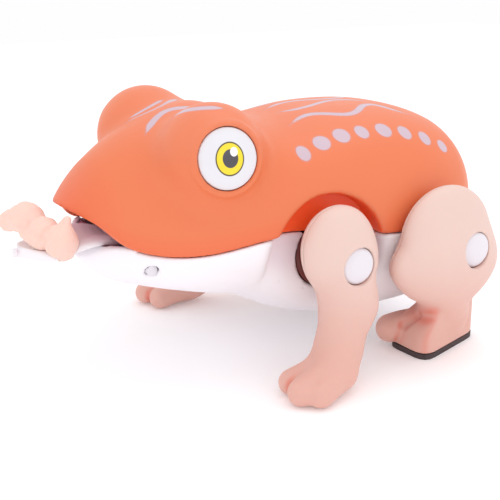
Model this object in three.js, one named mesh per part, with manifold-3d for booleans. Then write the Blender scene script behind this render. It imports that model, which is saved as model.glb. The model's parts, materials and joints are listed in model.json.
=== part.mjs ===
// Wind-up jumping frog: a hollow two-part body on four legs that rock together.
// Millimetres. X points to the frog's left, Y to its rump, Z up. The frog faces -Y and stands on Z = 0.
import * as THREE from 'three';
import { ParametricGeometry } from 'three/addons/geometries/ParametricGeometry.js';
import { mergeVertices } from 'three/addons/utils/BufferGeometryUtils.js';
import Module from 'manifold-3d';

const wasm = await Module();
wasm.setup();

// ---- driving sizes -------------------------------------------------------------------------
const CENTRE_SHIFT_Y = 9.2;      // moves the finished frog so that its box is centred on the origin
const GAP = 0.3;                 // clearance between neighbouring pieces
const WALL = 2.2;                // body shell wall
const CLEAR_OF_AXIS = 0.15;      // running clearance on shafts

// body outline along Y: [y, value]
const SNOUT_Y = -80;
const RUMP_Y = 78;
const JAW_Y = -74.5;
const TOP_LINE = [[-80, 61], [-74, 66.8], [-68, 72], [-60, 78], [-52, 82], [-45, 84.7], [-37, 86.7],
  [-29, 86.3], [-20, 83.2], [-11, 80.8], [4, 82.3], [20, 83.3], [34, 82.6], [50, 78.9], [62, 73.2],
  [72, 65.8], [78, 60]];
const HALF_WIDTH_LINE = [[-80, 15], [-72, 20.5], [-64, 26], [-53, 31.8], [-40, 35.5], [-25, 37.5],
  [-5, 39.4], [16, 41], [32, 40.6], [48, 37.6], [62, 31.5], [72, 25], [78, 21]];
const SEAM_LINE = [[-80, 58.6], [-76.5, 56.6], [-73, 54.2], [-69, 50], [-64, 47.2], [-56, 45.6], [-46, 45.5],
  [-34, 47], [-22, 48.4], [-8, 47.6], [8, 45.8], [25, 44.6], [45, 44.8], [62, 46.2], [78, 48]];
const BOTTOM_LINE = [[-80, 38], [-70, 34.5], [-58, 31], [-46, 27.8], [-34, 24.8], [-26, 22.8], [-17, 18.6],
  [-6, 13.6], [8, 10.6], [25, 9.5], [42, 9.6], [56, 12], [67, 18], [78, 27]];
const JAW_RIM_LINE = [[-74.5, 42], [-72, 45], [-69, 47.2], [-64, 47.7]];
const SNOUT_ROUND = 12;          // length over which the snout tip rounds off
const RUMP_ROUND = 24;           // length over which the rump rounds off
// squareness of the back's cross-section
const BACK_POWER_LINE = [[-80, 1.95], [-65, 1.87], [-50, 1.83], [-36, 1.95], [-18, 2.3], [10, 2.5], [78, 2.4]];
const BELLY_POWER = 2.2;         // squareness of the belly's cross-section

// eye bulges
const EYE_X = 23;
const EYE_Y = -38.3;
const EYE_Z = 73;
const EYE_R = 16.6;
const EYE_BLEND = 6;
const EYE_DIRECTION = new THREE.Vector3(0.975, -0.13, 0.14).normalize();
const EYE_DISC_R = 9.3;

// legs and drive
const FRONT_AXLE = [-2, 39.6];   // [y, z]
const HIND_AXLE = [44.3, 38.4];
const AXLE_R = 2;
const ARCH_R = 19.8;             // wheel-arch-like recess round the front leg
const ARCH_FLOOR_X = 33;
const ARCH_CENTRE = [-4.2, 40.2];
const HUB_R = 11.2;              // bearing disc inside the front recess
const HIND_HUB_R = 6;
const FRONT_SPLIT_X = 42.5;      // plane between the two moulded halves of a front leg
const FRONT_INNER_X = 35.6;
const HIND_SPLIT_X = 45.5;
const HIND_INNER_X = 41.9;
const FRONT_LID_Z = 16;          // lowest edge of a leg's separate half
const HIND_LID_Z = 24;
const CAP_R = 5.9;
const SOLE_THICK = 2;
const ROCKER_ARM = 12;           // axle to tie-rod pivot
const CRANK_REACH = 21;          // front axle to crank arbor
const CRANK_THROW = 5.2;
const MODULE = 0.8;              // gear module
const GREAT_TEETH = 36;
const SECOND_PINION_TEETH = 12;
const SECOND_WHEEL_TEETH = 30;
const CRANK_PINION_TEETH = 10;
const CRANK_WHEEL_TEETH = 24;
const GOVERNOR_TEETH = 8;
const WINDING_ARBOR = [-40, 47.4];
const CASE_HALF_X = 12.5;        // inner faces of the motor's side plates
const PLATE_THICK = 1.5;

// ---- general helpers -----------------------------------------------------------------------

// Natural cubic spline through [y, value] rows.
function spline(rows) {
  const n = rows.length - 1;
  const bend = new Array(n + 1).fill(0);
  const upper = new Array(n + 1).fill(0);
  const right = new Array(n + 1).fill(0);
  for (let i = 1; i < n; i++) {
    const before = rows[i][0] - rows[i - 1][0];
    const after = rows[i + 1][0] - rows[i][0];
    const slopeChange = (rows[i + 1][1] - rows[i][1]) / after - (rows[i][1] - rows[i - 1][1]) / before;
    const pivot = 2 * (before + after) - before * upper[i - 1];
    upper[i] = after / pivot;
    right[i] = (6 * slopeChange - before * right[i - 1]) / pivot;
  }
  for (let i = n - 1; i > 0; i--) bend[i] = right[i] - upper[i] * bend[i + 1];
  return (y) => {
    const x = Math.min(Math.max(y, rows[0][0]), rows[n][0]);
    let i = 0;
    while (i < n - 1 && x > rows[i + 1][0]) i++;
    const step = rows[i + 1][0] - rows[i][0];
    const a = (rows[i + 1][0] - x) / step;
    const b = 1 - a;
    return a * rows[i][1] + b * rows[i + 1][1]
      + ((a ** 3 - a) * bend[i] + (b ** 3 - b) * bend[i + 1]) * step * step / 6;
  };
}

// A quarter-ellipse ramp: 0 at the end of the body, 1 once "length" away from it.
function rounding(distance, length) {
  const t = Math.min(Math.max(distance / length, 0), 1);
  return Math.sqrt(1 - (1 - t) ** 2);
}

// Closed BufferGeometry -> manifold solid facing outwards.
function solid(geometry) {
  const bare = geometry.clone();
  for (const name of Object.keys(bare.attributes)) {
    if (name !== 'position') bare.deleteAttribute(name);
  }
  const welded = mergeVertices(bare, 1e-3);
  const place = welded.attributes.position;
  const kept = [];
  for (let i = 0; i < welded.index.count; i += 3) {
    const [a, b, c] = [0, 1, 2].map((k) => welded.index.getX(i + k));
    if (a !== b && b !== c && a !== c) kept.push(a, b, c);
  }
  const corner = [0, 1, 2].map(() => new THREE.Vector3());
  let volume = 0;
  for (let i = 0; i < kept.length; i += 3) {
    corner.forEach((v, k) => v.fromBufferAttribute(place, kept[i + k]));
    volume += corner[0].dot(corner[1].clone().cross(corner[2]));
  }
  if (volume < 0) {
    for (let i = 0; i < kept.length; i += 3) [kept[i], kept[i + 1]] = [kept[i + 1], kept[i]];
  }
  return new wasm.Manifold(new wasm.Mesh({
    numProp: 3,
    vertProperties: new Float32Array(place.array),
    triVerts: new Uint32Array(kept),
  }));
}

// Manifold solid -> BufferGeometry.
function surface(body) {
  const mesh = body.getMesh();
  const geometry = new THREE.BufferGeometry();
  const places = new Float32Array(mesh.numVert * 3);
  for (let i = 0; i < mesh.numVert; i++) {
    for (let k = 0; k < 3; k++) places[3 * i + k] = mesh.vertProperties[i * mesh.numProp + k];
  }
  geometry.setAttribute('position', new THREE.BufferAttribute(places, 3));
  geometry.setIndex(Array.from(mesh.triVerts));
  return geometry;
}

function join(parts) {
  return parts.reduce((whole, part) => whole.add(part));
}

// Turns a shape drawn in (y, z) into a plate that reaches from x0 to x1.
const ALONG_X = new THREE.Matrix4().makeBasis(
  new THREE.Vector3(0, 1, 0), new THREE.Vector3(0, 0, 1), new THREE.Vector3(1, 0, 0));

function plateGeometry(shape, x0, x1, curveSegments = 8) {
  const geometry = new THREE.ExtrudeGeometry(shape, { depth: x1 - x0, bevelEnabled: false, curveSegments });
  return geometry.applyMatrix4(ALONG_X).translate(x0, 0, 0);
}

function outline(points) {
  return new THREE.Shape(points.map(([a, b]) => new THREE.Vector2(a, b)));
}

// A turned piece: profile rows [radius, x], revolved about an X-parallel axis through [y, z].
function turnedGeometry(profile, [y, z], segments = 16) {
  const rows = profile.map(([radius, x]) => new THREE.Vector2(radius, x));
  return new THREE.LatheGeometry(rows, segments).rotateZ(-Math.PI / 2).translate(0, y, z);
}

function turned(profile, axis, segments) {
  return solid(turnedGeometry(profile, axis, segments));
}

// Plain round bar parallel to X.
function bar(radius, x0, x1, axis, segments = 16) {
  return turned([[0, x0], [radius, x0], [radius, x1], [0, x1]], axis, segments);
}

// Plain round bar parallel to Z.
function post(radius, x, y, z0, z1, segments = 8) {
  const geometry = new THREE.CylinderGeometry(radius, radius, z1 - z0, segments);
  return solid(geometry.rotateX(Math.PI / 2).translate(x, y, (z0 + z1) / 2));
}

function block([x0, x1], [y0, y1], [z0, z1]) {
  const geometry = new THREE.BoxGeometry(x1 - x0, y1 - y0, z1 - z0);
  return solid(geometry.translate((x0 + x1) / 2, (y0 + y1) / 2, (z0 + z1) / 2));
}

// Ellipsoid: centre, half sizes, and a tilt about X in degrees.
function pebble([x, y, z], [rx, ry, rz], tilt = 0, [across, down] = [12, 8]) {
  const geometry = new THREE.SphereGeometry(1, across, down).scale(rx, ry, rz);
  return solid(geometry.rotateX(THREE.MathUtils.degToRad(tilt)).translate(x, y, z));
}

// Tapered round limb from one point to another, with a ball at its far end; squash < 1 thins it
// across X.
function limb(from, to, r0, r1, squash = 1, around = 10) {
  const a = new THREE.Vector3(...from);
  const b = new THREE.Vector3(...to);
  const run = b.clone().sub(a);
  const length = run.length();
  const cone = new THREE.CylinderGeometry(r1, r0, length, around, 1);
  cone.scale(squash, 1, 1);
  const turn = new THREE.Quaternion().setFromUnitVectors(new THREE.Vector3(0, 1, 0), run.normalize());
  cone.applyQuaternion(turn).translate(...a.clone().add(b).multiplyScalar(0.5));
  return solid(cone).add(pebble(to, [r1 * squash, r1, r1], 0, [around, Math.max(around - 2, 4)]));
}

// Stretched ball that covers the line from one point to another, such as a toe.
function toe(from, to, r) {
  const a = new THREE.Vector3(...from);
  const b = new THREE.Vector3(...to);
  const run = b.clone().sub(a);
  const geometry = new THREE.SphereGeometry(1, 8, 6).scale(r, run.length() / 2 + r, r);
  const turn = new THREE.Quaternion().setFromUnitVectors(new THREE.Vector3(0, 1, 0), run.normalize());
  return solid(geometry.applyQuaternion(turn).translate(...a.add(b).multiplyScalar(0.5)));
}

// The same solid on the frog's other side.
function mirrored(body) {
  return solid(surface(body).scale(-1, 1, 1));
}

// ---- body shells -----------------------------------------------------------------------------
const topAt = spline(TOP_LINE);
const halfWidthAt = spline(HALF_WIDTH_LINE);
const seamAt = spline(SEAM_LINE);
const bottomAt = spline(BOTTOM_LINE);
const jawRimAt = spline(JAW_RIM_LINE);
const backPowerAt = spline(BACK_POWER_LINE);

// The jaw is shorter than the snout: its plan outline is the snout's, drawn in from JAW_BLEND_Y on.
const JAW_BLEND_Y = -50;
function upperOf(y) {
  const t = Math.min(Math.max((JAW_BLEND_Y - y) / (JAW_BLEND_Y - JAW_Y), 0), 1);
  return y - t * (JAW_Y - SNOUT_Y);
}

function endRound(y) {
  return rounding(y - SNOUT_Y, SNOUT_ROUND) * rounding(RUMP_Y - y, RUMP_ROUND);
}

// Seam height of the lower shell: the jaw rim in front, the upper shell's edge elsewhere.
function lowerSeamAt(y) {
  const mouthCorner = -64;
  if (y < mouthCorner) return jawRimAt(y);
  return seamAt(y) - GAP;
}

function superRadius(angle, halfWidth, height, power) {
  const across = Math.abs(Math.cos(angle)) / halfWidth;
  const up = Math.abs(Math.sin(angle)) / height;
  return (across ** power + up ** power) ** (-1 / power);
}

// Distance from the section centre to the skin of the back, eye bulges included.
function upperRadius(y, angle) {
  const round = endRound(y);
  const seam = seamAt(y);
  const halfWidth = Math.max(halfWidthAt(y) * round, 0.01);
  const height = Math.max((topAt(y) - seam) * round, 0.01);
  const plain = superRadius(angle, halfWidth, height, backPowerAt(y));
  const outside = (t) => {
    const x = Math.abs(t * Math.cos(angle)) - EYE_X;
    const z = seam + t * Math.sin(angle) - EYE_Z;
    const toEye = Math.hypot(x, y - EYE_Y, z) - EYE_R;
    const toBody = t - plain;
    const mix = Math.max(EYE_BLEND - Math.abs(toEye - toBody), 0) / EYE_BLEND;
    return Math.min(toEye, toBody) - mix * mix * EYE_BLEND / 4;
  };
  let far = 60;
  while (outside(far) > 0) far -= 0.5;
  let near = far;
  far += 0.5;
  for (let i = 0; i < 24; i++) {
    const middle = (near + far) / 2;
    if (outside(middle) > 0) far = middle;
    else near = middle;
  }
  return (near + far) / 2;
}

function lowerRadius(y, angle) {
  const yUpper = upperOf(y);
  const round = endRound(yUpper);
  const halfWidth = Math.max(halfWidthAt(yUpper) * round, 0.01);
  const depth = Math.max((lowerSeamAt(y) - bottomAt(y)) * round, 0.01);
  return superRadius(angle, halfWidth, depth, BELLY_POWER);
}

// A closed skin through rings of points; every ring has the same count.
function loft(rings) {
  const around = rings[0].length;
  const along = rings.length - 1;
  const pick = (u, v, target) => {
    target.copy(rings[Math.round(v * along)][Math.round(u * around) % around]);
  };
  return solid(new ParametricGeometry(pick, around, along));
}

// One closed half body. side = 1 for the back, -1 for the belly. inset shrinks it by a wall; overrun
// pushes its flat side past the seam, so that an inset body opens the shell when it is cut away.
const ARCH_STEPS = 14;
const STATIONS = 20;
function halfBody(side, inset, overrun) {
  const front = (side > 0 ? SNOUT_Y : JAW_Y) + inset * 1.4;
  const rear = RUMP_Y - inset;
  const radiusAt = side > 0 ? upperRadius : lowerRadius;
  const centreAt = side > 0 ? seamAt : lowerSeamAt;
  const rings = [];
  for (let j = 0; j <= STATIONS; j++) {
    const y = front + (rear - front) * (1 - Math.cos(Math.PI * j / STATIONS)) / 2;
    const atEnd = j === 0 || j === STATIONS;
    const centre = centreAt(y);
    const ring = [];
    for (let i = 0; i <= ARCH_STEPS; i++) {
      const angle = Math.PI * i / ARCH_STEPS;
      const radius = atEnd ? 0 : Math.max(radiusAt(y, angle) - inset, 0.2);
      ring.push(new THREE.Vector3(radius * Math.cos(angle), y, centre + side * radius * Math.sin(angle)));
    }
    if (overrun > 0) {
      const edge = ring[0].x;
      const z = atEnd ? centre : centre - side * overrun;
      ring.push(new THREE.Vector3(-edge, y, z), new THREE.Vector3(edge, y, z));
    }
    rings.push(ring);
  }
  return loft(rings);
}

// Left and right copies of a cutter or a boss.
function both(body) {
  return body.add(mirrored(body));
}

const eyeCentre = new THREE.Vector3(EYE_X, EYE_Y, EYE_Z);

// A turned piece about the left eye's own axis: rows [radius, distance from the bulge's centre].
function turnedAtEye(profile, segments = 18) {
  const rows = profile.map(([radius, out]) => new THREE.Vector2(radius, out));
  const geometry = new THREE.LatheGeometry(rows, segments);
  const turn = new THREE.Quaternion().setFromUnitVectors(new THREE.Vector3(0, 1, 0), EYE_DIRECTION);
  return solid(geometry.applyQuaternion(turn).translate(...eyeCentre));
}

function arch(extra, inner, outer) {
  return bar(ARCH_R + extra, inner, outer, ARCH_CENTRE, 20);
}

// Screw posts that hold the two shells together: [x, y].
const SHELL_POSTS = [[19, -47], [-19, -47], [13, 21], [-13, 21]];
const POST_R = 3.6;
const SCREW_WEB_Z = 41;          // underside of the web that each shell screw clamps
const SCREW_R = 1.3;

const keyHole = bar(2.6, -60, -20, WINDING_ARBOR, 12);
const tonguePinAxis = [-60, 40.7];

function upperShell() {
  let shell = halfBody(1, 0, 0);
  const hollow = halfBody(1, WALL, 8).subtract(both(arch(WALL, ARCH_FLOOR_X - WALL, 60)));
  shell = shell.subtract(both(arch(0, ARCH_FLOOR_X, 60)));
  const inside = halfBody(1, WALL / 2, 0);
  const bosses = join(SHELL_POSTS.map(([x, y]) => post(POST_R, x, y, seamAt(y) + 0.2, 90)));
  shell = shell.subtract(hollow).add(bosses.intersect(inside));
  const bores = join(SHELL_POSTS.map(([x, y]) => post(SCREW_R + 0.2, x, y, 30, seamAt(y) + 12, 10)));
  const eyeHole = turnedAtEye([[0, 8], [EYE_DISC_R + 0.2, 8], [EYE_DISC_R + 0.2, 30], [0, 30]]);
  shell = shell.subtract(bores).subtract(both(eyeHole)).subtract(keyHole);
  const hubHole = bar(HUB_R + GAP, 20, 45, FRONT_AXLE, 16);
  const hindHole = bar(HIND_HUB_R + GAP, 20, 60, HIND_AXLE, 12);
  return shell.subtract(both(hubHole)).subtract(both(hindHole));
}

function lowerShell() {
  const hollow = halfBody(-1, WALL, 8).subtract(both(arch(WALL, ARCH_FLOOR_X - WALL, 60)));
  let shell = halfBody(-1, 0, 0).subtract(both(arch(0, ARCH_FLOOR_X, 60))).subtract(hollow);
  const inside = halfBody(-1, WALL / 2, 0);
  const bosses = join(SHELL_POSTS.map(([x, y]) => post(POST_R, x, y, 0, lowerSeamAt(y) - 0.1)));
  shell = shell.add(bosses.intersect(inside));
  const bores = join(SHELL_POSTS.map(([x, y]) => post(SCREW_R + 0.3, x, y, 0, 60, 10)
    .add(post(2.7, x, y, 0, SCREW_WEB_Z, 10))));
  shell = shell.subtract(bores).subtract(keyHole);
  const hubHole = bar(HUB_R + GAP, 20, 45, FRONT_AXLE, 16);
  const hindHole = bar(HIND_HUB_R + GAP, 20, 60, HIND_AXLE, 12);
  const pinHole = bar(1.9, -45, 45, tonguePinAxis, 12);
  return shell.subtract(both(hubHole)).subtract(both(hindHole)).subtract(pinHole);
}

// ---- mouth -------------------------------------------------------------------------------------
// A thin tray across the mouth: heightAt(y) is its underside and widthAt(y) its half width.
function mouthPlate(front, rear, heightAt, widthAt, thick) {
  const rings = [];
  const steps = 7;
  for (let j = 0; j <= steps; j++) {
    const y = front + (rear - front) * j / steps;
    const w = widthAt(y);
    const z = heightAt(y);
    const corners = [[w, 0], [w, thick], [-w, thick], [-w, 0]];
    rings.push(corners.map(([x, lift]) => new THREE.Vector3(x, y, z + lift)));
  }
  const cap = (ring) => {
    const middle = new THREE.Vector3();
    ring.forEach((corner) => middle.add(corner));
    middle.divideScalar(ring.length);
    return ring.map(() => middle.clone());
  };
  return loft([cap(rings[0]), ...rings, cap(rings[steps])]);
}

function palate() {
  const width = (y) => upperRadius(y, 0) - WALL - GAP - 2;
  return mouthPlate(-74.5, -58, (y) => seamAt(y) + 2.4, width, 1.2);
}

function mouthFloor() {
  const width = (y) => lowerRadius(y, 0) - WALL - GAP - 2;
  const slot = block([-LUG_HALF_X - GAP, LUG_HALF_X + GAP], [-66, -50], [30, 60]);
  return mouthPlate(-69.6, -62, (y) => lowerSeamAt(y) - 4.2, width, 1.2).subtract(slot);
}

// ---- tongue and bait --------------------------------------------------------------------------
const TONGUE_LINE = [[-92, 45.8], [-84, 45.2], [-76, 47.2], [-68, 47.4], [-60, 45.2]];
const TONGUE_HALF_WIDTH = [[-92, 9], [-84, 11.4], [-76, 12], [-68, 11], [-60, 7.5]];
const TONGUE_THICK = 4.2;
const TONGUE_TIP_Y = -93;
const TONGUE_ROOT_Y = -60;

const tongueMiddleAt = spline(TONGUE_LINE);
const tongueWidthAt = spline(TONGUE_HALF_WIDTH);

// The spoon-shaped blade; "grow" swells it on every side.
function tongueBlade(grow) {
  const steps = 10;
  const around = 10;
  const [tip, root] = [TONGUE_TIP_Y - grow, TONGUE_ROOT_Y + grow];
  const rings = [];
  for (let j = 0; j <= steps; j++) {
    const y = tip + (root - tip) * (1 - Math.cos(Math.PI * j / steps)) / 2;
    const roundTip = rounding(y - tip, 8);
    const ring = [];
    for (let i = 0; i < around; i++) {
      const angle = 2 * Math.PI * i / around;
      const width = Math.max(tongueWidthAt(y) * roundTip + grow, 0.01);
      const radius = j === 0 || j === steps ? 0 : superRadius(angle, width, TONGUE_THICK / 2 + grow, 2.6);
      ring.push(new THREE.Vector3(radius * Math.cos(angle), y, tongueMiddleAt(y) + radius * Math.sin(angle)));
    }
    rings.push(ring);
  }
  return loft(rings);
}

const LUG_HALF_X = 5;

function tongue() {
  const lug = outline([[-65, 46.5], [-59.5, 46.2], [-57, 41], [-58.5, 38.2], [-61.5, 38.2], [-63.2, 41]]);
  const body = tongueBlade(0).add(solid(plateGeometry(lug, -LUG_HALF_X, LUG_HALF_X)));
  return body.subtract(bar(1.5 + CLEAR_OF_AXIS, -8, 8, tonguePinAxis, 12));
}

const PIN_END_X = 24.8;          // the pin's ends stop inside the jaw's wall

function tonguePin() {
  const end = bar(1.7, PIN_END_X - 2.8, PIN_END_X, tonguePinAxis, 12);
  return bar(1.5, -PIN_END_X + 2, PIN_END_X - 2, tonguePinAxis, 12).add(both(end));
}

// A grub-like bait of soft lobes, wrapped over the tongue's tip.
function bait() {
  return join([
    pebble([-9.4, -92.4, 52.7], [3.8, 4, 3.5], 0, [8, 6]),
    pebble([-4, -88.6, 54.6], [5.4, 5.4, 4.8], 0, [10, 6]),
    pebble([3.4, -86, 51.4], [5.4, 5.6, 5], 0, [10, 6]),
    pebble([9.5, -82.6, 48.8], [5.2, 5.4, 5.8], 0, [10, 8]),
    limb([9.4, -82, 52.6], [9.2, -80.4, 57], 2.8, 1.6, 1, 6),
  ]).subtract(tongueBlade(GAP));
}

// ---- legs ----------------------------------------------------------------------------------------
// Everything is drawn for the left side; the right side is mirrored.
function frontLegForm() {
  const toes = [[[47.6, -12, 4.8], [46.2, -23, 4]], [[52, -13, 5], [54.4, -24.8, 4.2]],
    [[54.6, -12, 4.8], [58.6, -21, 4]]];
  const parts = [
    pebble([43, -4.7, 44.6], [8, 12.8, 13.2], 0, [14, 8]),
    limb([43.6, -2.2, 37], [44.4, -0.9, 25], 10.6, 8.4, 0.78, 10),
    limb([44.4, -0.9, 25], [47, -6.6, 11], 8.4, 6.6, 0.94, 10),
    limb([47, -6.6, 11], [50.2, -11, 5.6], 6.6, 6, 1, 8),
    ...toes.map(([from, to]) => toe(from, to, 4.9)),
  ];
  const ground = block([20, 90], [-60, 60], [-20, 0]);
  const inward = block([0, FRONT_INNER_X], [-60, 60], [16, 90]);
  return join(parts).subtract(ground).subtract(inward);
}

// Plan of a hind foot over its sole: a straight front and an outer edge that draws in to the heel.
function footPlan() {
  const shape = new THREE.Shape();
  shape.moveTo(29, 52);
  shape.lineTo(29, 33);
  shape.quadraticCurveTo(29, 28.4, 34, 28.2);
  shape.lineTo(43.4, 28.6);
  shape.quadraticCurveTo(48.8, 29.2, 47, 34.5);
  shape.lineTo(39.8, 56);
  shape.quadraticCurveTo(38, 61.2, 34, 60.6);
  shape.quadraticCurveTo(29.4, 59.6, 29, 52);
  return shape;
}

function footSlab(z0, z1) {
  const options = { depth: z1 - z0, bevelEnabled: false, curveSegments: 4 };
  return solid(new THREE.ExtrudeGeometry(footPlan(), options).translate(0, 0, z0));
}

// The foot's block slopes down to its toes; the longer inner toe stands in front of it.
function hindFoot() {
  const slope = outline([[26, 0], [26.6, 7.2], [36.5, 16.6], [40, 19], [62, 19], [62, 0]]);
  const wedge = footSlab(SOLE_THICK, 20).intersect(solid(plateGeometry(slope, 20, 60)));
  return wedge.add(toe([33.6, 38, 8.6], [31, 27.8, 6.4], 5));
}

function hindLegForm() {
  const parts = [
    pebble([46.5, 36.8, 42], [7.8, 18.2, 17.9], 0, [14, 8]),
    pebble([46.3, 44, 33.5], [7.6, 15.5, 13.5], 0, [12, 8]),
    pebble([46.4, 31.4, 33.4], [7.4, 15, 11.6], 0, [12, 8]),
    limb([46.5, 29, 36.4], [46.5, 19.2, 35], 9, 4.2, 0.7, 8),
    limb([45.2, 38, 30], [39, 45.4, 12], 13, 9.2, 0.68, 10),
    hindFoot(),
  ];
  const ground = block([10, 90], [-60, 90], [-20, SOLE_THICK]);
  const inward = block([0, HIND_INNER_X], [-20, 90], [28, 90]);
  const besideBelly = block([0, 38.4], [-20, 90], [20, 29]);
  const overFoot = block([0, 33.4], [-20, 90], [12, 22]);
  return join(parts).subtract(ground).subtract(inward).subtract(besideBelly).subtract(overFoot);
}

// A hollow leg is moulded in two parts: the outer one carries the whole foot, and a lid closes it on
// the body's side, inward of a plane at x = split and above z = lidZ.
function legHalves(form, hollow, split, axle, innerX, capX, lidZ) {
  const wide = [-60, 120];
  const lid = block([0, split], wide, [lidZ, 100]);
  const lidRoom = block([0, split + GAP / 2], wide, [lidZ - GAP / 2, 100]);
  const boss = bar(4.6, innerX, capX - 1.5, axle, 8);
  const shaft = bar(AXLE_R + 0.05, 0, split + 0.5, axle, 12);
  const bore = bar(SCREW_R + 0.2, 0, 90, axle, 8);
  const seat = bar(CAP_R + 0.2, capX - 1.7, 90, axle, 16);
  const head = bar(3, capX - 4.2, capX, axle, 10);
  const shell = form.subtract(hollow.subtract(boss)).subtract(shaft).subtract(bore).subtract(seat).subtract(head);
  return { outer: shell.subtract(lidRoom), inner: shell.intersect(lid) };
}

// Pockets inside the legs, drawn in (y, z), that reach "depth" to each side of the split plane.
function frontHollow() {
  const pocket = outline([[-12.5, 44], [-10, 51.5], [-4.5, 54.5], [1, 51], [3.4, 43], [2.4, 32], [-0.5, 20],
    [-8.4, 20], [-10.8, 32]]);
  return solid(plateGeometry(pocket, FRONT_SPLIT_X - 4.2, FRONT_SPLIT_X + 4.2));
}

function hindHollow() {
  const pocket = outline([[19.5, 40], [24, 49.5], [35, 54.5], [47, 51.5], [54, 43], [53.5, 34], [48, 28],
    [30, 28], [22, 32]]);
  return solid(plateGeometry(pocket, HIND_SPLIT_X - 2.6, HIND_SPLIT_X + 4));
}

const FRONT_CAP_X = 50.4;        // plane that each cap's rim lies on
const HIND_CAP_X = 53;

function capPiece(capX, axle) {
  return turned([[0, capX - 1.5], [CAP_R, capX - 1.5], [CAP_R, capX - 0.2], [CAP_R - 0.8, capX + 0.4],
    [0, capX + 0.9]], axle, 16);
}

function legScrew(capX, axle) {
  return turned([[0, 40], [SCREW_R, 40], [SCREW_R, capX - 4.1], [2.7, capX - 4.1], [2.7, capX - 2],
    [0, capX - 2]], axle, 8);
}

// Black rubber sole under a hind foot, all but its inner toe.
function sole() {
  return footSlab(0, SOLE_THICK - 0.1);
}

// ---- drive ---------------------------------------------------------------------------------------
function axleBar(reach, place) {
  const inner = reach - 9;
  return turned([[0, -inner], [SCREW_R + 0.1, -inner], [SCREW_R + 0.1, -reach], [AXLE_R, -reach],
    [AXLE_R, reach], [SCREW_R + 0.1, reach], [SCREW_R + 0.1, inner], [0, inner]], place, 12);
}

// Flanged bearing disc between a leg and the shells: rows are [radius, x].
function bearing(radius, x0, x1, place) {
  const bore = AXLE_R + CLEAR_OF_AXIS;
  const ring = turned([[0, x0], [radius, x0], [radius, x1], [0, x1]], place, 16);
  return ring.subtract(bar(bore, x0 - 1, x1 + 1, place, 12));
}

const ROCKER_X = [-20.5, -17.5];
const TIE_X = [-24, -21.5];
const CRANK_ARBOR = [FRONT_AXLE[0] - CRANK_REACH, FRONT_AXLE[1]];

function at([y, z], dy, dz) {
  return [y + dy, z + dz];
}

// Rocker on an axle: a boss, an upright arm with the tie-rod pin, and for the front one a slotted arm
// that the crank pin swings.
function rocker(place, slotted, pinReach) {
  const [y, z] = place;
  const arm = outline([[y - 3.4, z], [y + 3.4, z], [y + 2.4, z + ROCKER_ARM + 2.4],
    [y - 2.4, z + ROCKER_ARM + 2.4]]);
  let body = solid(plateGeometry(arm, ...ROCKER_X)).add(bar(4.6, -20.5, -15, place, 20));
  if (slotted) {
    const reach = CRANK_REACH + CRANK_THROW + 2.5;
    const lever = outline([[y, z + 4], [y - reach, z + 3.4], [y - reach, z - 3.4], [y, z - 4]]);
    const slot = outline([[y - 12, z + 1.9], [y - reach - 1, z + 1.9], [y - reach - 1, z - 1.9],
      [y - 12, z - 1.9]]);
    body = body.add(solid(plateGeometry(lever, ...ROCKER_X)).subtract(solid(plateGeometry(slot, -21, -17))));
  }
  const pin = bar(1.2, ROCKER_X[0] - pinReach, ROCKER_X[0] + 1, at(place, 0, ROCKER_ARM), 12);
  return body.add(pin).subtract(bar(AXLE_R + 0.05, -30, 0, place, 16));
}

function tieRod() {
  const a = at(FRONT_AXLE, 0, ROCKER_ARM);
  const b = at(HIND_AXLE, 0, ROCKER_ARM);
  const strap = outline([[a[0], a[1] - 2], [b[0], b[1] - 2], [b[0], b[1] + 2], [a[0], a[1] + 2]]);
  const rod = solid(plateGeometry(strap, ...TIE_X)).add(bar(3, ...TIE_X, a, 16)).add(bar(3, ...TIE_X, b, 16));
  const openPivot = 0.35;
  return rod.subtract(bar(1.2 + openPivot, -30, -15, a, 12))
    .subtract(bar(1.2 + CLEAR_OF_AXIS, -30, -15, b, 12));
}

// Spur gear drawn with straight-flanked teeth, thinned for backlash. phase: angle of one tooth.
function gearOutline(teeth, [y, z], phase) {
  const pitch = MODULE * teeth / 2;
  const tip = pitch + 0.9 * MODULE;
  const root = pitch - 1.15 * MODULE;
  const half = Math.PI / teeth;
  const points = [];
  for (let i = 0; i < teeth; i++) {
    const middle = phase + 2 * i * half;
    const rows = [[root, -0.66], [tip, -0.2], [tip, 0.2], [root, 0.66]];
    for (const [radius, share] of rows) {
      const angle = middle + share * half;
      points.push([y + radius * Math.cos(angle), z + radius * Math.sin(angle)]);
    }
  }
  return outline(points);
}

function gear(teeth, place, x0, x1, phase, bore) {
  const wheel = solid(plateGeometry(gearOutline(teeth, place, phase), x0, x1));
  return bore ? wheel.subtract(bar(bore, x0 - 1, x1 + 1, place, 12)) : wheel;
}

// Where a wheel sits that meshes at distance a from one centre and b from the other.
function meet([y0, z0], a, [y1, z1], b, side) {
  const span = Math.hypot(y1 - y0, z1 - z0);
  const along = (a * a - b * b + span * span) / (2 * span);
  const off = side * Math.sqrt(a * a - along * along);
  const [uy, uz] = [(y1 - y0) / span, (z1 - z0) / span];
  return [y0 + along * uy - off * uz, z0 + along * uz + off * uy];
}

const centreDistance = (n, m) => MODULE * (n + m) / 2;
const SECOND_ARBOR = meet(WINDING_ARBOR, centreDistance(GREAT_TEETH, SECOND_PINION_TEETH),
  CRANK_ARBOR, centreDistance(SECOND_WHEEL_TEETH, CRANK_PINION_TEETH), 1);
const GOVERNOR_BEARING = 0.5;    // direction from the crank arbor to the governor, radians from +Y
const GOVERNOR_ARBOR = at(CRANK_ARBOR,
  centreDistance(CRANK_WHEEL_TEETH, GOVERNOR_TEETH) * Math.cos(GOVERNOR_BEARING),
  centreDistance(CRANK_WHEEL_TEETH, GOVERNOR_TEETH) * Math.sin(GOVERNOR_BEARING));

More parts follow.
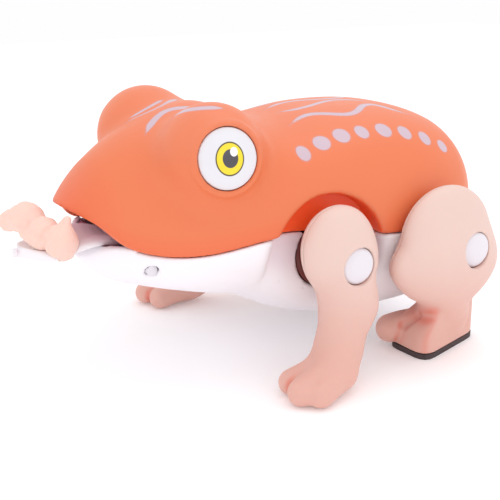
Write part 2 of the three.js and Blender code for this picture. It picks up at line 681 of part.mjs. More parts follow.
function angleTo([y0, z0], [y1, z1]) {
  return Math.atan2(z1 - z0, y1 - y0);
}

// The follower shows a gap where the driver's tooth points at it.
function phaseAgainst(followerTeeth, driver, follower) {
  return angleTo(driver, follower) + Math.PI + Math.PI / followerTeeth;
}

function mainspring() {
  const turns = 4;
  const steps = 11 * turns;
  const [inner, outer, strip] = [3.4, 12.2, 0.5];
  const edge = (offset, reverse) => {
    const row = [];
    for (let i = 0; i <= steps; i++) {
      const t = i / steps;
      const radius = inner + (outer - inner) * t + offset;
      const angle = 2 * Math.PI * turns * t;
      row.push([WINDING_ARBOR[0] + radius * Math.cos(angle), WINDING_ARBOR[1] + radius * Math.sin(angle)]);
    }
    return reverse ? row.reverse() : row;
  };
  return solid(plateGeometry(outline([...edge(0, false), ...edge(strip, true)]), -11, -2.7));
}

// Outline of the motor's side plates; the pillars belong to the left plate.
const CASE_OUTLINE = [[-58, 38.5], [-54.5, 35.6], [-46, 33.2], [-24, 32.2], [-7, 32.6], [-5.5, 37], [-6, 50],
  [-10, 60], [-20, 68.5], [-37, 71], [-56, 62.5]];
const PILLARS = [[-55.4, 39.4], [-53, 60], [-8.4, 36], [-37, 67]];
const ARBOR_R = 1.2;

function plateBores(body) {
  const arbors = [WINDING_ARBOR, SECOND_ARBOR, CRANK_ARBOR, GOVERNOR_ARBOR];
  const radii = [1.8, ARBOR_R, ARBOR_R, 0.9];
  const bores = arbors.map((place, i) => bar(radii[i] + CLEAR_OF_AXIS, -20, 20, place, 10));
  return body.subtract(join(bores));
}

function casePlate(x0, x1) {
  return solid(plateGeometry(outline(CASE_OUTLINE), x0, x1));
}

function leftPlate() {
  const plate = plateBores(casePlate(CASE_HALF_X, CASE_HALF_X + PLATE_THICK));
  const pillars = join(PILLARS.map((place) => bar(2, -CASE_HALF_X + 0.1, CASE_HALF_X + 0.5, place, 8)));
  const bores = join(PILLARS.map((place) => bar(0.95, -20, -CASE_HALF_X + 7, place, 6)));
  return plate.add(pillars).subtract(bores);
}

function rightPlate() {
  const bores = join(PILLARS.map((place) => bar(0.95, -20, 0, place, 6)));
  return plateBores(casePlate(-CASE_HALF_X - PLATE_THICK, -CASE_HALF_X)).subtract(bores);
}

function plateScrew(place) {
  const face = -CASE_HALF_X - PLATE_THICK - 0.05;
  return turned([[0, -CASE_HALF_X + 6], [0.75, -CASE_HALF_X + 6], [0.75, face], [1.9, face],
    [1.9, face - 1.3], [0, face - 1.3]], place, 8);
}

function shellScrew([x, y]) {
  const top = seamAt(y) + 10;
  const head = SCREW_WEB_Z - 0.05;
  const rows = [[0, head - 2], [2.5, head - 2], [2.5, head], [SCREW_R, head], [SCREW_R, top], [0, top]];
  const geometry = new THREE.LatheGeometry(rows.map(([r, z]) => new THREE.Vector2(r, z)), 8);
  return solid(geometry.rotateX(Math.PI / 2).translate(x, y, 0));
}

const KEY_X = -49;               // middle of the key's barrel

function key() {
  const [y, z] = WINDING_ARBOR;
  const wing = new THREE.Shape();
  wing.moveTo(y - 2, z);
  wing.quadraticCurveTo(y - 3, z + 4, y - 5.5, z + 7.4);
  wing.quadraticCurveTo(y - 3.4, z + 11.6, y, z + 11.6);
  wing.quadraticCurveTo(y + 3.4, z + 11.6, y + 5.5, z + 7.4);
  wing.quadraticCurveTo(y + 3, z + 4, y + 2, z);
  const blade = plateGeometry(wing, KEY_X - 4.9, KEY_X - 3.1, 5);
  const turnedBlade = blade.clone().translate(0, -y, -z).rotateX(Math.PI).translate(0, y, z);
  const blades = solid(blade).add(solid(turnedBlade));
  const barrel = bar(3, KEY_X - 5, KEY_X + 8, WINDING_ARBOR, 16);
  return blades.add(barrel).subtract(bar(1.55, KEY_X - 1, KEY_X + 9, WINDING_ARBOR, 12));
}

// ---- assembly --------------------------------------------------------------------------------------
const group = new THREE.Group();
group.position.y = CENTRE_SHIFT_Y;
const FINISHES = {
  orange_shell: { color: 0xf58c69, roughness: 0.42, metalness: 0 },
  white_shell: { color: 0xededf0, roughness: 0.4, metalness: 0 },
  leg_skin: { color: 0xefcbbe, roughness: 0.5, metalness: 0 },
  cap_white: { color: 0xf4f2f4, roughness: 0.35, metalness: 0 },
  sole_rubber: { color: 0x2b2222, roughness: 0.85, metalness: 0 },
  mouth_mauve: { color: 0xb07c84, roughness: 0.55, metalness: 0 },
  tongue_white: { color: 0xe8dede, roughness: 0.4, metalness: 0 },
  bait_pink: { color: 0xf0c8b9, roughness: 0.6, metalness: 0 },
  eye_white: { color: 0xf2f0f2, roughness: 0.25, metalness: 0 },
  hub_brown: { color: 0x5a1f1a, roughness: 0.5, metalness: 0 },
  steel: { color: 0xb8bbc0, roughness: 0.3, metalness: 1 },
  spring_steel: { color: 0x6f7480, roughness: 0.35, metalness: 1 },
  gear_nylon: { color: 0xe9e2cf, roughness: 0.5, metalness: 0 },
  case_plastic: { color: 0x3f4247, roughness: 0.5, metalness: 0 },
};

function add(name, body, finish) {
  const mesh = new THREE.Mesh(surface(body), new THREE.MeshStandardMaterial(FINISHES[finish]));
  mesh.name = name;
  group.add(mesh);
  return mesh;
}

function addPair(name, body, finish) {
  add(`${name}_left`, body, finish);
  add(`${name}_right`, body, finish).scale.x = -1;
}

add('upper_shell', upperShell(), 'orange_shell');
add('lower_shell', lowerShell(), 'white_shell');
add('palate', palate(), 'mouth_mauve');
add('mouth_floor', mouthFloor(), 'mouth_mauve');
add('tongue', tongue(), 'tongue_white');
add('tongue_pin', tonguePin(), 'cap_white');
add('bait', bait(), 'bait_pink');
addPair('eye_disc', turnedAtEye([[0, 10.8], [EYE_DISC_R, 10.8], [EYE_DISC_R, 13.4],
  [EYE_DISC_R * 0.7, 14.6], [0, 15.2]]), 'eye_white');

const frontHalves = legHalves(frontLegForm(), frontHollow(), FRONT_SPLIT_X, FRONT_AXLE, FRONT_INNER_X,
  FRONT_CAP_X, FRONT_LID_Z);
const hindHalves = legHalves(hindLegForm(), hindHollow(), HIND_SPLIT_X, HIND_AXLE, HIND_INNER_X,
  HIND_CAP_X, HIND_LID_Z);
addPair('front_leg_outer', frontHalves.outer, 'leg_skin');
addPair('front_leg_inner', frontHalves.inner, 'leg_skin');
addPair('front_cap', capPiece(FRONT_CAP_X, FRONT_AXLE), 'cap_white');
addPair('hind_leg_outer', hindHalves.outer, 'leg_skin');
addPair('hind_leg_inner', hindHalves.inner, 'leg_skin');
addPair('hind_cap', capPiece(HIND_CAP_X, HIND_AXLE), 'cap_white');
addPair('hind_sole', sole(), 'sole_rubber');
addPair('front_leg_screw', legScrew(FRONT_CAP_X, FRONT_AXLE), 'steel');
addPair('hind_leg_screw', legScrew(HIND_CAP_X, HIND_AXLE), 'steel');

add('front_axle', axleBar(FRONT_SPLIT_X, FRONT_AXLE), 'steel');
add('hind_axle', axleBar(HIND_SPLIT_X, HIND_AXLE), 'steel');
addPair('front_bearing', bearing(HUB_R, 28, ARCH_FLOOR_X, FRONT_AXLE), 'hub_brown');
addPair('hind_bearing', bearing(HIND_HUB_R, 30, 39.5, HIND_AXLE), 'hub_brown');
add('front_rocker', rocker(FRONT_AXLE, true, 3.6), 'gear_nylon');
add('hind_rocker', rocker(HIND_AXLE, false, 4.6), 'gear_nylon');
add('tie_rod', tieRod(), 'steel');

// Gear train, from the winding arbor to the governor.
const phaseGreat = angleTo(WINDING_ARBOR, SECOND_ARBOR);
const phaseSecondPinion = phaseAgainst(SECOND_PINION_TEETH, WINDING_ARBOR, SECOND_ARBOR);
const phaseSecondWheel = angleTo(SECOND_ARBOR, CRANK_ARBOR);
const phaseCrankPinion = phaseAgainst(CRANK_PINION_TEETH, SECOND_ARBOR, CRANK_ARBOR);
const phaseCrankWheel = angleTo(CRANK_ARBOR, GOVERNOR_ARBOR);
const phaseGovernor = phaseAgainst(GOVERNOR_TEETH, CRANK_ARBOR, GOVERNOR_ARBOR);

const arborEnd = CASE_HALF_X + PLATE_THICK;
add('winding_arbor', bar(1.5, KEY_X - 0.8, CASE_HALF_X - 1, WINDING_ARBOR, 16)
  .add(bar(1.8, -arborEnd, arborEnd, WINDING_ARBOR, 16)), 'steel');
add('great_wheel', gear(GREAT_TEETH, WINDING_ARBOR, 7.5, 10.5, phaseGreat, 2), 'gear_nylon');
add('mainspring', mainspring(), 'spring_steel');
add('key', key(), 'steel');
add('second_gear', gear(SECOND_WHEEL_TEETH, SECOND_ARBOR, 3, 5.4, phaseSecondWheel, 0)
  .add(gear(SECOND_PINION_TEETH, SECOND_ARBOR, 5.3, 11, phaseSecondPinion, 0))
  .subtract(bar(ARBOR_R + CLEAR_OF_AXIS, 0, 20, SECOND_ARBOR, 10)), 'gear_nylon');
add('second_arbor', bar(ARBOR_R, -arborEnd, arborEnd, SECOND_ARBOR, 12), 'steel');
add('crank_gear', gear(CRANK_PINION_TEETH, CRANK_ARBOR, 1, 6, phaseCrankPinion, 0)
  .add(gear(CRANK_WHEEL_TEETH, CRANK_ARBOR, -1.4, 1.1, phaseCrankWheel, 0))
  .subtract(bar(ARBOR_R + CLEAR_OF_AXIS, -5, 20, CRANK_ARBOR, 10)), 'gear_nylon');
add('crank', bar(ARBOR_R, -16, arborEnd, CRANK_ARBOR, 12)
  .add(bar(CRANK_THROW + 1.8, -16.7, -14.6, CRANK_ARBOR, 20))
  .add(bar(1.4, ROCKER_X[1] + GAP, -16, at(CRANK_ARBOR, -CRANK_THROW, 0), 10)), 'steel');
add('governor', gear(GOVERNOR_TEETH, GOVERNOR_ARBOR, -2, 1.8, phaseGovernor, 0)
  .add(bar(0.9, -arborEnd, arborEnd, GOVERNOR_ARBOR, 12))
  .add(block([-8, -5], [GOVERNOR_ARBOR[0] - 1.6, GOVERNOR_ARBOR[0] + 1.6],
    [GOVERNOR_ARBOR[1] - 7, GOVERNOR_ARBOR[1] + 7])), 'steel');
add('case_left', leftPlate(), 'case_plastic');
add('case_right', rightPlate(), 'case_plastic');
PILLARS.forEach((place, i) => add(`case_screw_${i + 1}`, plateScrew(place), 'steel'));
SHELL_POSTS.forEach((place, i) => add(`shell_screw_${i + 1}`, shellScrew(place), 'steel'));

export default group;
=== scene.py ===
import json
import math

import bpy
import numpy as np
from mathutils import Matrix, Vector


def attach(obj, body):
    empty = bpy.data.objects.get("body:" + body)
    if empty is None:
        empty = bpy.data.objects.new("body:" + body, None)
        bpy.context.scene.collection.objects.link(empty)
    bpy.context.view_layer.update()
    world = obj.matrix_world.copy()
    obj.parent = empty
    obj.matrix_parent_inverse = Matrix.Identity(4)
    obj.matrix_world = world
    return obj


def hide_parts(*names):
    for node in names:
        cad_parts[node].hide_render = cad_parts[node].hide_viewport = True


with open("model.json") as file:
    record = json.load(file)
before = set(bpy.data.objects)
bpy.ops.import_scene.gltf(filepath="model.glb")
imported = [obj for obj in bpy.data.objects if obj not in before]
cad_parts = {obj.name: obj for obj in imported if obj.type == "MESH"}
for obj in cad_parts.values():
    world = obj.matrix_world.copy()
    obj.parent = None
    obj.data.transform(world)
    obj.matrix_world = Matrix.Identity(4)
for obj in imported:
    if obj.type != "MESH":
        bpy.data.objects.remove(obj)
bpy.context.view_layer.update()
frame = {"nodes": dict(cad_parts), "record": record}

# Shapes are worked out in millimetres in the frog's own layout: X to its left, Y to its rump, Z up.
MM = 0.001
CENTRE_SHIFT_Y = 9.2     # from the layout to the row frame

# ---- body outline: (y, value) --------------------------------------------------------------------
SNOUT_Y, RUMP_Y, JAW_Y = -80, 78, -74.5
TOP_LINE = [(-80, 61), (-74, 66.8), (-68, 72), (-60, 78), (-52, 82), (-45, 84.7), (-37, 86.7), (-29, 86.3),
            (-20, 83.2), (-11, 80.8), (4, 82.3), (20, 83.3), (34, 82.6), (50, 78.9), (62, 73.2), (72, 65.8),
            (78, 60)]
HALF_WIDTH_LINE = [(-80, 15), (-72, 20.5), (-64, 26), (-53, 31.8), (-40, 35.5), (-25, 37.5),
                   (-5, 39.4), (16, 41), (32, 40.6), (48, 37.6), (62, 31.5), (72, 25), (78, 21)]
SEAM_LINE = [(-80, 58.6), (-76.5, 56.6), (-73, 54.2), (-69, 50), (-64, 47.2), (-56, 45.6), (-46, 45.5),
             (-34, 47), (-22, 48.4), (-8, 47.6), (8, 45.8), (25, 44.6), (45, 44.8), (62, 46.2), (78, 48)]
BOTTOM_LINE = [(-80, 38), (-70, 34.5), (-58, 31), (-46, 27.8), (-34, 24.8), (-26, 22.8), (-17, 18.6),
               (-6, 13.6), (8, 10.6), (25, 9.5), (42, 9.6), (56, 12), (67, 18), (78, 27)]
JAW_RIM_LINE = [(-74.5, 42), (-72, 45), (-69, 47.2), (-64, 47.7)]
BACK_POWER_LINE = [(-80, 1.95), (-65, 1.87), (-50, 1.83), (-36, 1.95), (-18, 2.3), (10, 2.5), (78, 2.4)]
BELLY_POWER = 2.2
SNOUT_ROUND, RUMP_ROUND = 12, 24
JAW_BLEND_Y = -50
MOUTH_CORNER_Y = -64
WALL = 2.2
LIP_WALL = 4.5           # how far the hollow stays behind the front of either jaw
GAP = 0.3

EYE_CENTRE = np.array([23.0, -38.3, 73.0])
EYE_R = 16.6
EYE_BLEND = 6
EYE_AXIS = np.array([0.975, -0.13, 0.14]) / np.linalg.norm([0.975, -0.13, 0.14])
EYE_DISC_R = 9.3
EYE_SEAT = 8             # distance along the eye's axis to the floor of its seat
EYE_RIM_R, EYE_RIM_ALONG, EYE_RIM_THICK, EYE_RIM_BLEND = 10.3, 12.5, 0.8, 1.8

FRONT_AXLE = (-2, 39.6)
HIND_AXLE = (44.3, 38.4)
ARCH_R, ARCH_FLOOR_X, ARCH_CENTRE = 19.8, 33, (-4.2, 40.2)
HUB_R, HIND_HUB_R, HUB_BORE_R = 11.2, 6, 2.15
SHELL_POSTS = [(19, -47), (13, 21)]
POST_R, SCREW_R, SCREW_HEAD_R, SCREW_WEB_Z = 3.6, 1.3, 2.7, 41
SCREW_DEPTH = 12         # how far a shell screw's hole runs up from the seam
TONGUE_PIN = (-60, 40.7)
PIN_HOLE_R = 1.72
WINDING_ARBOR = (-40, 47.4)
ARBOR_HOLE_R = 2.6
SIDE_HOLE_X = 20         # the holes in the body's sides start this far from its middle
KEY_X = -49
FRONT_SPLIT_X, FRONT_LID_Z, FRONT_CAP_X = 42.5, 16, 50.4
HIND_SPLIT_X, HIND_LID_Z, HIND_CAP_X = 45.5, 24, 53
CAP_R = 5.9
LEG_WALL = 2.4
AXLE_SLEEVE_R, AXLE_BORE_R, LEG_SCREW_HEAD_R = 4.6, 2.05, 3


def spline(rows):
    """Natural cubic spline through (y, value) rows, as a function of a numpy array."""
    xs, vs = np.array(rows, float).T
    n = len(xs)
    h = np.diff(xs)
    a = np.eye(n)
    b = np.zeros(n)
    for i in range(1, n - 1):
        a[i, i - 1:i + 2] = h[i - 1], 2 * (h[i - 1] + h[i]), h[i]
        b[i] = 6 * ((vs[i + 1] - vs[i]) / h[i] - (vs[i] - vs[i - 1]) / h[i - 1])
    bend = np.linalg.solve(a, b)

    def at(y):
        x = np.clip(y, xs[0], xs[-1])
        i = np.clip(np.searchsorted(xs, x, side="right") - 1, 0, n - 2)
        left = (xs[i + 1] - x) / h[i]
        right = 1 - left
        curve = (left ** 3 - left) * bend[i] + (right ** 3 - right) * bend[i + 1]
        return left * vs[i] + right * vs[i + 1] + curve * h[i] ** 2 / 6

    return at


top_at = spline(TOP_LINE)
half_width_at = spline(HALF_WIDTH_LINE)
seam_at = spline(SEAM_LINE)
bottom_at = spline(BOTTOM_LINE)
jaw_rim_at = spline(JAW_RIM_LINE)
back_power_at = spline(BACK_POWER_LINE)


# ---- distance fields -----------------------------------------------------------------------------
def smooth_max(a, b, k):
    h = np.maximum(k - np.abs(a - b), 0) / k
    return np.maximum(a, b) + h * h * k / 4


def smooth_min(a, b, k):
    return -smooth_max(-a, -b, k)


def blend_all(fields, k):
    whole = fields[0]
    for field in fields[1:]:
        whole = smooth_min(whole, field, k)
    return whole


def end_round(y):
    front = np.clip((y - SNOUT_Y) / SNOUT_ROUND, 0, 1)
    rear = np.clip((RUMP_Y - y) / RUMP_ROUND, 0, 1)
    return np.sqrt(1 - (1 - front) ** 2) * np.sqrt(1 - (1 - rear) ** 2)


def section(across, up, half_width, height, power):
    """Distance from a super-elliptical section, measured along the ray from its centre."""
    r = np.hypot(across, up) + 1e-9
    c = np.abs(across) / r / half_width
    s = np.abs(up) / r / height
    return r - (c ** power + s ** power) ** (-1 / power)


def back_skin(x, y, z):
    x = np.abs(x)
    ends = end_round(y)
    seam = seam_at(y)
    half_width = np.maximum(half_width_at(y) * ends, 0.01)
    height = np.maximum((top_at(y) - seam) * ends, 0.01)
    body = section(x, z - seam, half_width, height, back_power_at(y))
    bulge = np.sqrt((x - EYE_CENTRE[0]) ** 2 + (y - EYE_CENTRE[1]) ** 2 + (z - EYE_CENTRE[2]) ** 2) - EYE_R
    return smooth_min(body, bulge, EYE_BLEND)


def eye_polar(x, y, z):
    """(distance from the eye's axis, distance along it) for the eye on the same side."""
    dx, dy, dz = np.abs(x) - EYE_CENTRE[0], y - EYE_CENTRE[1], z - EYE_CENTRE[2]
    along = dx * EYE_AXIS[0] + dy * EYE_AXIS[1] + dz * EYE_AXIS[2]
    off = np.sqrt(np.maximum(dx ** 2 + dy ** 2 + dz ** 2 - along ** 2, 0))
    return off, along


def lower_seam_at(y):
    return np.where(y < MOUTH_CORNER_Y, jaw_rim_at(y), seam_at(y) - GAP)


def belly_skin(x, y, z):
    t = np.clip((JAW_BLEND_Y - y) / (JAW_BLEND_Y - JAW_Y), 0, 1)
    y_upper = y - t * (JAW_Y - SNOUT_Y)
    ends = end_round(y_upper)
    seam = lower_seam_at(y)
    half_width = np.maximum(half_width_at(y_upper) * ends, 0.01)
    depth = np.maximum((seam - bottom_at(y)) * ends, 0.01)
    return section(x, z - seam, half_width, depth, BELLY_POWER)


def round_x(y, z, place, radius):
    """Distance from a round bar parallel to X."""
    return np.hypot(y - place[0], z - place[1]) - radius


def arch_room(x, y, z):
    """Distance from the round room that a front leg swings in."""
    return np.maximum(round_x(y, z, ARCH_CENTRE, ARCH_R), ARCH_FLOOR_X - np.abs(x))


def posts(x, y, radius):
    """Distance from the four upright posts that the shells' screws run through."""
    return np.minimum(*[np.hypot(np.abs(x) - px, y - py) - radius for px, py in SHELL_POSTS])


def cut(field, tool, k=0.5):
    return smooth_max(field, -tool, k)


def common_holes(field, x, y, z):
    """The holes where the axles' bearings and the key's arbor pass through either shell."""
    inner = SIDE_HOLE_X - np.abs(x)
    field = cut(field, np.maximum(round_x(y, z, FRONT_AXLE, HUB_R + GAP), inner))
    field = cut(field, np.maximum(round_x(y, z, HIND_AXLE, HIND_HUB_R + GAP), inner))
    return cut(field, np.maximum(round_x(y, z, WINDING_ARBOR, ARBOR_HOLE_R), x + SIDE_HOLE_X))


def wall_along_ray(skin, x, y, z):
    """The shell's wall measured along the section's ray, thicker where the skin leans away from it."""
    step = 0.4
    across = skin(x + step, y, z) - skin(x - step, y, z)
    along = skin(x, y + step, z) - skin(x, y - step, z)
    up = skin(x, y, z + step) - skin(x, y, z - step)
    return WALL * np.clip(np.sqrt(across ** 2 + along ** 2 + up ** 2) / (2 * step), 1, 3)


def upper_shell(x, y, z):
    """The orange back: hollow, with round arches for the front legs and a seat for each eye."""
    skin = back_skin(x, y, z)
    wall = wall_along_ray(back_skin, x, y, z)
    off, along = eye_polar(x, y, z)
    rim = np.hypot(off - EYE_RIM_R, along - EYE_RIM_ALONG) - EYE_RIM_THICK
    skin = smooth_min(skin, rim, EYE_RIM_BLEND)
    room = arch_room(x, y, z)
    outside = smooth_max(cut(skin, room, 1.8), seam_at(y) - z, 1.1)
    ends = np.maximum(SNOUT_Y + LIP_WALL - y, y - RUMP_Y + WALL)
    hollow = np.maximum(np.maximum(skin + wall, ends), WALL - room)
    post_field = np.maximum(posts(x, y, POST_R), np.maximum(skin + WALL / 2, seam_at(y) + 0.2 - z))
    shell = np.minimum(cut(outside, hollow, 0.4), post_field)
    shell = cut(shell, np.maximum(posts(x, y, SCREW_R + 0.2), z - seam_at(y) - SCREW_DEPTH))
    shell = cut(shell, np.maximum(off - EYE_DISC_R - 0.2, EYE_SEAT - along), 0.7)
    return common_holes(shell, x, y, z)


def lower_shell(x, y, z):
    """The white belly and jaw: hollow, with posts for the shells' four screws."""
    skin = belly_skin(x, y, z)
    wall = wall_along_ray(belly_skin, x, y, z)
    room = arch_room(x, y, z)
    seam = lower_seam_at(y)
    outside = smooth_max(cut(skin, room, 6), z - seam, 0.9)
    ends = np.maximum(JAW_Y + LIP_WALL - y, y - RUMP_Y + WALL)
    hollow = np.maximum(np.maximum(skin + wall, ends), WALL - room)
    post_field = np.maximum(posts(x, y, POST_R), np.maximum(skin + WALL / 2, z - seam + 0.1))
    shell = np.minimum(cut(outside, hollow, 0.4), post_field)
    shell = cut(shell, posts(x, y, SCREW_R + 0.3))
    shell = cut(shell, np.maximum(posts(x, y, SCREW_HEAD_R), z - SCREW_WEB_Z))
    shell = cut(shell, round_x(y, z, TONGUE_PIN, PIN_HOLE_R), 1.6)
    return common_holes(shell, x, y, z)


def ellipsoid(x, y, z, centre, radii, tilt=0):
    """Distance from an ellipsoid tilted about X, in degrees."""
    dx, dy, dz = x - centre[0], y - centre[1], z - centre[2]
    c, s = math.cos(math.radians(tilt)), math.sin(math.radians(tilt))
    dy, dz = c * dy + s * dz, c * dz - s * dy
    k0 = np.sqrt((dx / radii[0]) ** 2 + (dy / radii[1]) ** 2 + (dz / radii[2]) ** 2) + 1e-9
    k1 = np.sqrt((dx / radii[0] ** 2) ** 2 + (dy / radii[1] ** 2) ** 2 + (dz / radii[2] ** 2) ** 2) + 1e-9
    return k0 * (k0 - 1) / k1


def limb(x, y, z, start, end, r0, r1, squash=1):
    """Distance from a tapered, round-ended bar; squash below 1 thins it across X."""
    a, b = np.array(start, float), np.array(end, float)
    run = b - a
    px, py, pz = x - a[0], y - a[1], z - a[2]
    t = np.clip((px * run[0] + py * run[1] + pz * run[2]) / run.dot(run), 0, 1)
    dx, dy, dz = (px - t * run[0]) / squash, py - t * run[1], pz - t * run[2]
    return (np.sqrt(dx ** 2 + dy ** 2 + dz ** 2) - (r0 + (r1 - r0) * t)) * squash


# ---- legs: drawn for the left side ---------------------------------------------------------------
def front_leg(x, y, z):
    """Flat thigh, a shin that leans forward, and a foot of three toes."""
    thigh = ellipsoid(x, y, z, (43, -4.7, 44.6), (8, 12.8, 13.2))
    knee = limb(x, y, z, (43.6, -2.2, 37), (44.4, -0.9, 25.2), 10.6, 8.4, 0.78)
    shin = limb(x, y, z, (44.4, -0.9, 25), (47, -6.6, 11), 8.4, 6.6, 0.94)
    ankle = limb(x, y, z, (47, -6.6, 11), (50.2, -11, 6), 6.6, 5.8)
    leg = blend_all([thigh, knee, shin, ankle], 6)
    toes = [limb(x, y, z, (48, -11, 7.2), (46.2, -23.4, 4), 5.2, 4.2),
            limb(x, y, z, (51, -11, 7.4), (54.6, -25.2, 4.2), 5.6, 4.5),
            limb(x, y, z, (53, -10, 6.8), (58.4, -21, 4), 5.4, 4.3)]
    foot = blend_all(toes, 1.4)
    return smooth_max(smooth_min(leg, foot, 4), -z, 1.6)


def hind_foot(x, y, z):
    """A wedge that slopes down to its toes, with a straight outer edge and a longer inner toe."""
    outer_edge = 0.948 * (x - 47.3) + 0.319 * (y - 34.5)
    plan = smooth_max(smooth_max(outer_edge, 28.2 - y, 7), smooth_max(y - 60.6, 29 - x, 7), 5)
    slope = -0.68 * (y - 26.6) + 0.734 * (z - 8)
    inner_bevel = -0.8 * (x - 29) + 0.6 * (z - 10)
    wedge = smooth_max(plan, smooth_max(slope, inner_bevel, 3), 3.5)
    wedge = smooth_max(wedge, z - 19, 3)
    inner_toe = limb(x, y, z, (34.5, 39, 9.4), (30.8, 27.8, 6.8), 6, 5)
    groove = limb(x, y, z, (37, 28.6, 10), (43.4, 37, 17.6), 1.5, 1.0)
    return cut(smooth_min(wedge, inner_toe, 1), groove, 1.4)


def hind_leg(x, y, z):
    thigh = blend_all([ellipsoid(x, y, z, (46.5, 36.8, 42), (7.8, 18.2, 17.9)),
                       ellipsoid(x, y, z, (46.3, 44, 33.5), (7.6, 15.5, 13.5)),
                       ellipsoid(x, y, z, (46.4, 31.4, 33.4), (7.4, 15, 11.6)),
                       limb(x, y, z, (46.5, 29, 36.4), (46.5, 19.2, 35), 9, 4.2, 0.7)], 4)
    shin = limb(x, y, z, (45.2, 38, 30), (39, 45.4, 12), 13, 9.2, 0.68)
    field = smooth_min(smooth_min(thigh, shin, 5), hind_foot(x, y, z), 1.6)
    field = smooth_max(field, 2.0 - z, 1.0)
    field = smooth_max(field, np.minimum(41.9 - x, z - 28), 1)
    field = cut(field, np.maximum(np.maximum(x - 38.4, 20 - z), z - 29), 2)
    return cut(field, np.maximum(np.maximum(x - 33.4, 12 - z), z - 22), 1)


def leg_half(leg, split, lid_z, axle, cap_x, is_lid):
    """One moulded part of a hollow leg, with its pocket and the seat of its screw cap. The lid closes
    the leg on the body's side; the other part carries the foot."""
    def field(x, y, z):
        whole = leg(x, y, z)
        pocket = np.maximum(whole + LEG_WALL, lid_z + 3 - z)
        pocket = np.maximum(pocket, -round_x(y, z, axle, AXLE_SLEEVE_R))
        body = cut(whole, pocket, 0.4)
        body = cut(body, np.maximum(round_x(y, z, axle, CAP_R + 0.2), cap_x - 1.7 - x), 0.4)
        body = cut(body, round_x(y, z, axle, SCREW_R + 0.2), 0.2)
        body = cut(body, np.maximum(round_x(y, z, axle, AXLE_BORE_R), x - split - 0.5), 0.2)
        body = cut(body, np.maximum(round_x(y, z, axle, LEG_SCREW_HEAD_R), cap_x - 4.2 - x), 0.2)
        if is_lid:
            return smooth_max(body, np.maximum(x - split, lid_z - z), 0.4)
        return cut(body, np.maximum(x - split - GAP / 2, lid_z - GAP / 2 - z), 0.4)
    return field


# ---- mouth lining --------------------------------------------------------------------------------
LINING_HALF_THICK = 0.7
LINING_INSET = 1.7               # how far its edge stands inside the shells' skins


def palate(x, y, z):
    """Domed lining of the upper jaw; it comes down to the lip in front."""
    height = seam_at(y) + 3.2 - 2.0 * np.clip((-66 - y) / 8, 0, 1)
    sheet = np.abs(z - height - 0.02 * (60 - x ** 2 / 6)) - LINING_HALF_THICK
    edge = np.maximum(back_skin(x, y, z) + LINING_INSET, np.abs(y + 68) - 10)
    return smooth_max(sheet, edge, 0.5)


def mouth_floor(x, y, z):
    """Shallow tray behind the jaw's rim, slotted for the tongue's lug."""
    height = lower_seam_at(y) - 3.4 + 0.004 * x ** 2
    sheet = np.abs(z - height) - LINING_HALF_THICK
    edge = np.maximum(belly_skin(x, y, z) + LINING_INSET, np.abs(y + 66.3) - 4.3)
    slot = np.maximum(np.abs(x) - 5.3, -66 - y)
    return cut(smooth_max(sheet, edge, 0.5), slot, 0.3)


# ---- tongue, bait and key ------------------------------------------------------------------------
TONGUE_LINE = [(-92, 45.8), (-84, 45.2), (-76, 47.2), (-68, 47.4), (-60, 45.2)]
TONGUE_HALF_WIDTH = [(-92, 9), (-84, 11.4), (-76, 12), (-68, 11), (-60, 7.5)]
TONGUE_TIP_Y, TONGUE_ROOT_Y, TONGUE_THICK = -93, -60, 4.2
tongue_middle_at = spline(TONGUE_LINE)
tongue_width_at = spline(TONGUE_HALF_WIDTH)


def tongue_blade(x, y, z):
    tip = np.clip((y - TONGUE_TIP_Y) / 8, 0, 1)
    width = np.maximum(tongue_width_at(y) * np.sqrt(1 - (1 - tip) ** 2), 0.01)
    dish = 0.9 * np.clip(1 - (x / width) ** 2, 0, 1)      # the spoon's hollow top
    mid = tongue_middle_at(y)
    flat = section(x, z - mid, width, TONGUE_THICK / 2, 2.6)
    flat = smooth_max(flat, z - mid - TONGUE_THICK / 2 + dish, 0.8)
    return smooth_max(flat, y - TONGUE_ROOT_Y, 1)


def tongue(x, y, z):
    lug = limb(x, y, z, (0, -62, 45.4), (0, -60.2, 41), 3.4, 2.9)
    lug = smooth_max(lug, np.abs(x) - 5, 0.5)
    blade = smooth_min(tongue_blade(x, y, z), lug, 1.2)
    return cut(blade, round_x(y, z, TONGUE_PIN, 1.65), 0.2)


def bait(x, y, z):
    """Soft lobes draped over the tongue's tip."""
    arm = limb(x, y, z, (-9.4, -92.2, 52.9), (-4, -88.8, 55), 3.3, 4.4)
    middle = ellipsoid(x, y, z, (-3.2, -88.2, 54.4), (5.2, 5.2, 4.7))
    waist = ellipsoid(x, y, z, (3.4, -86, 51.4), (5, 5.2, 4.8))
    egg = ellipsoid(x, y, z, (9.6, -82.6, 49), (4.9, 5.2, 5.6))
    nub = limb(x, y, z, (10, -82, 52.4), (11, -81.2, 56), 2.5, 1.5)
    fold = limb(x, y, z, (0.5, -90.4, 51), (5.4, -87.4, 48.6), 2, 2.2)
    whole = blend_all([arm, middle, waist, egg, nub, fold], 1.7)
    wrinkle = 0.12 * np.sin(1.7 * x + 0.9 * y + 0.4 * z) * np.sin(0.8 * x - 1.5 * z)
    return cut(whole + wrinkle, tongue_blade(x, y, z) - GAP, 0.3)


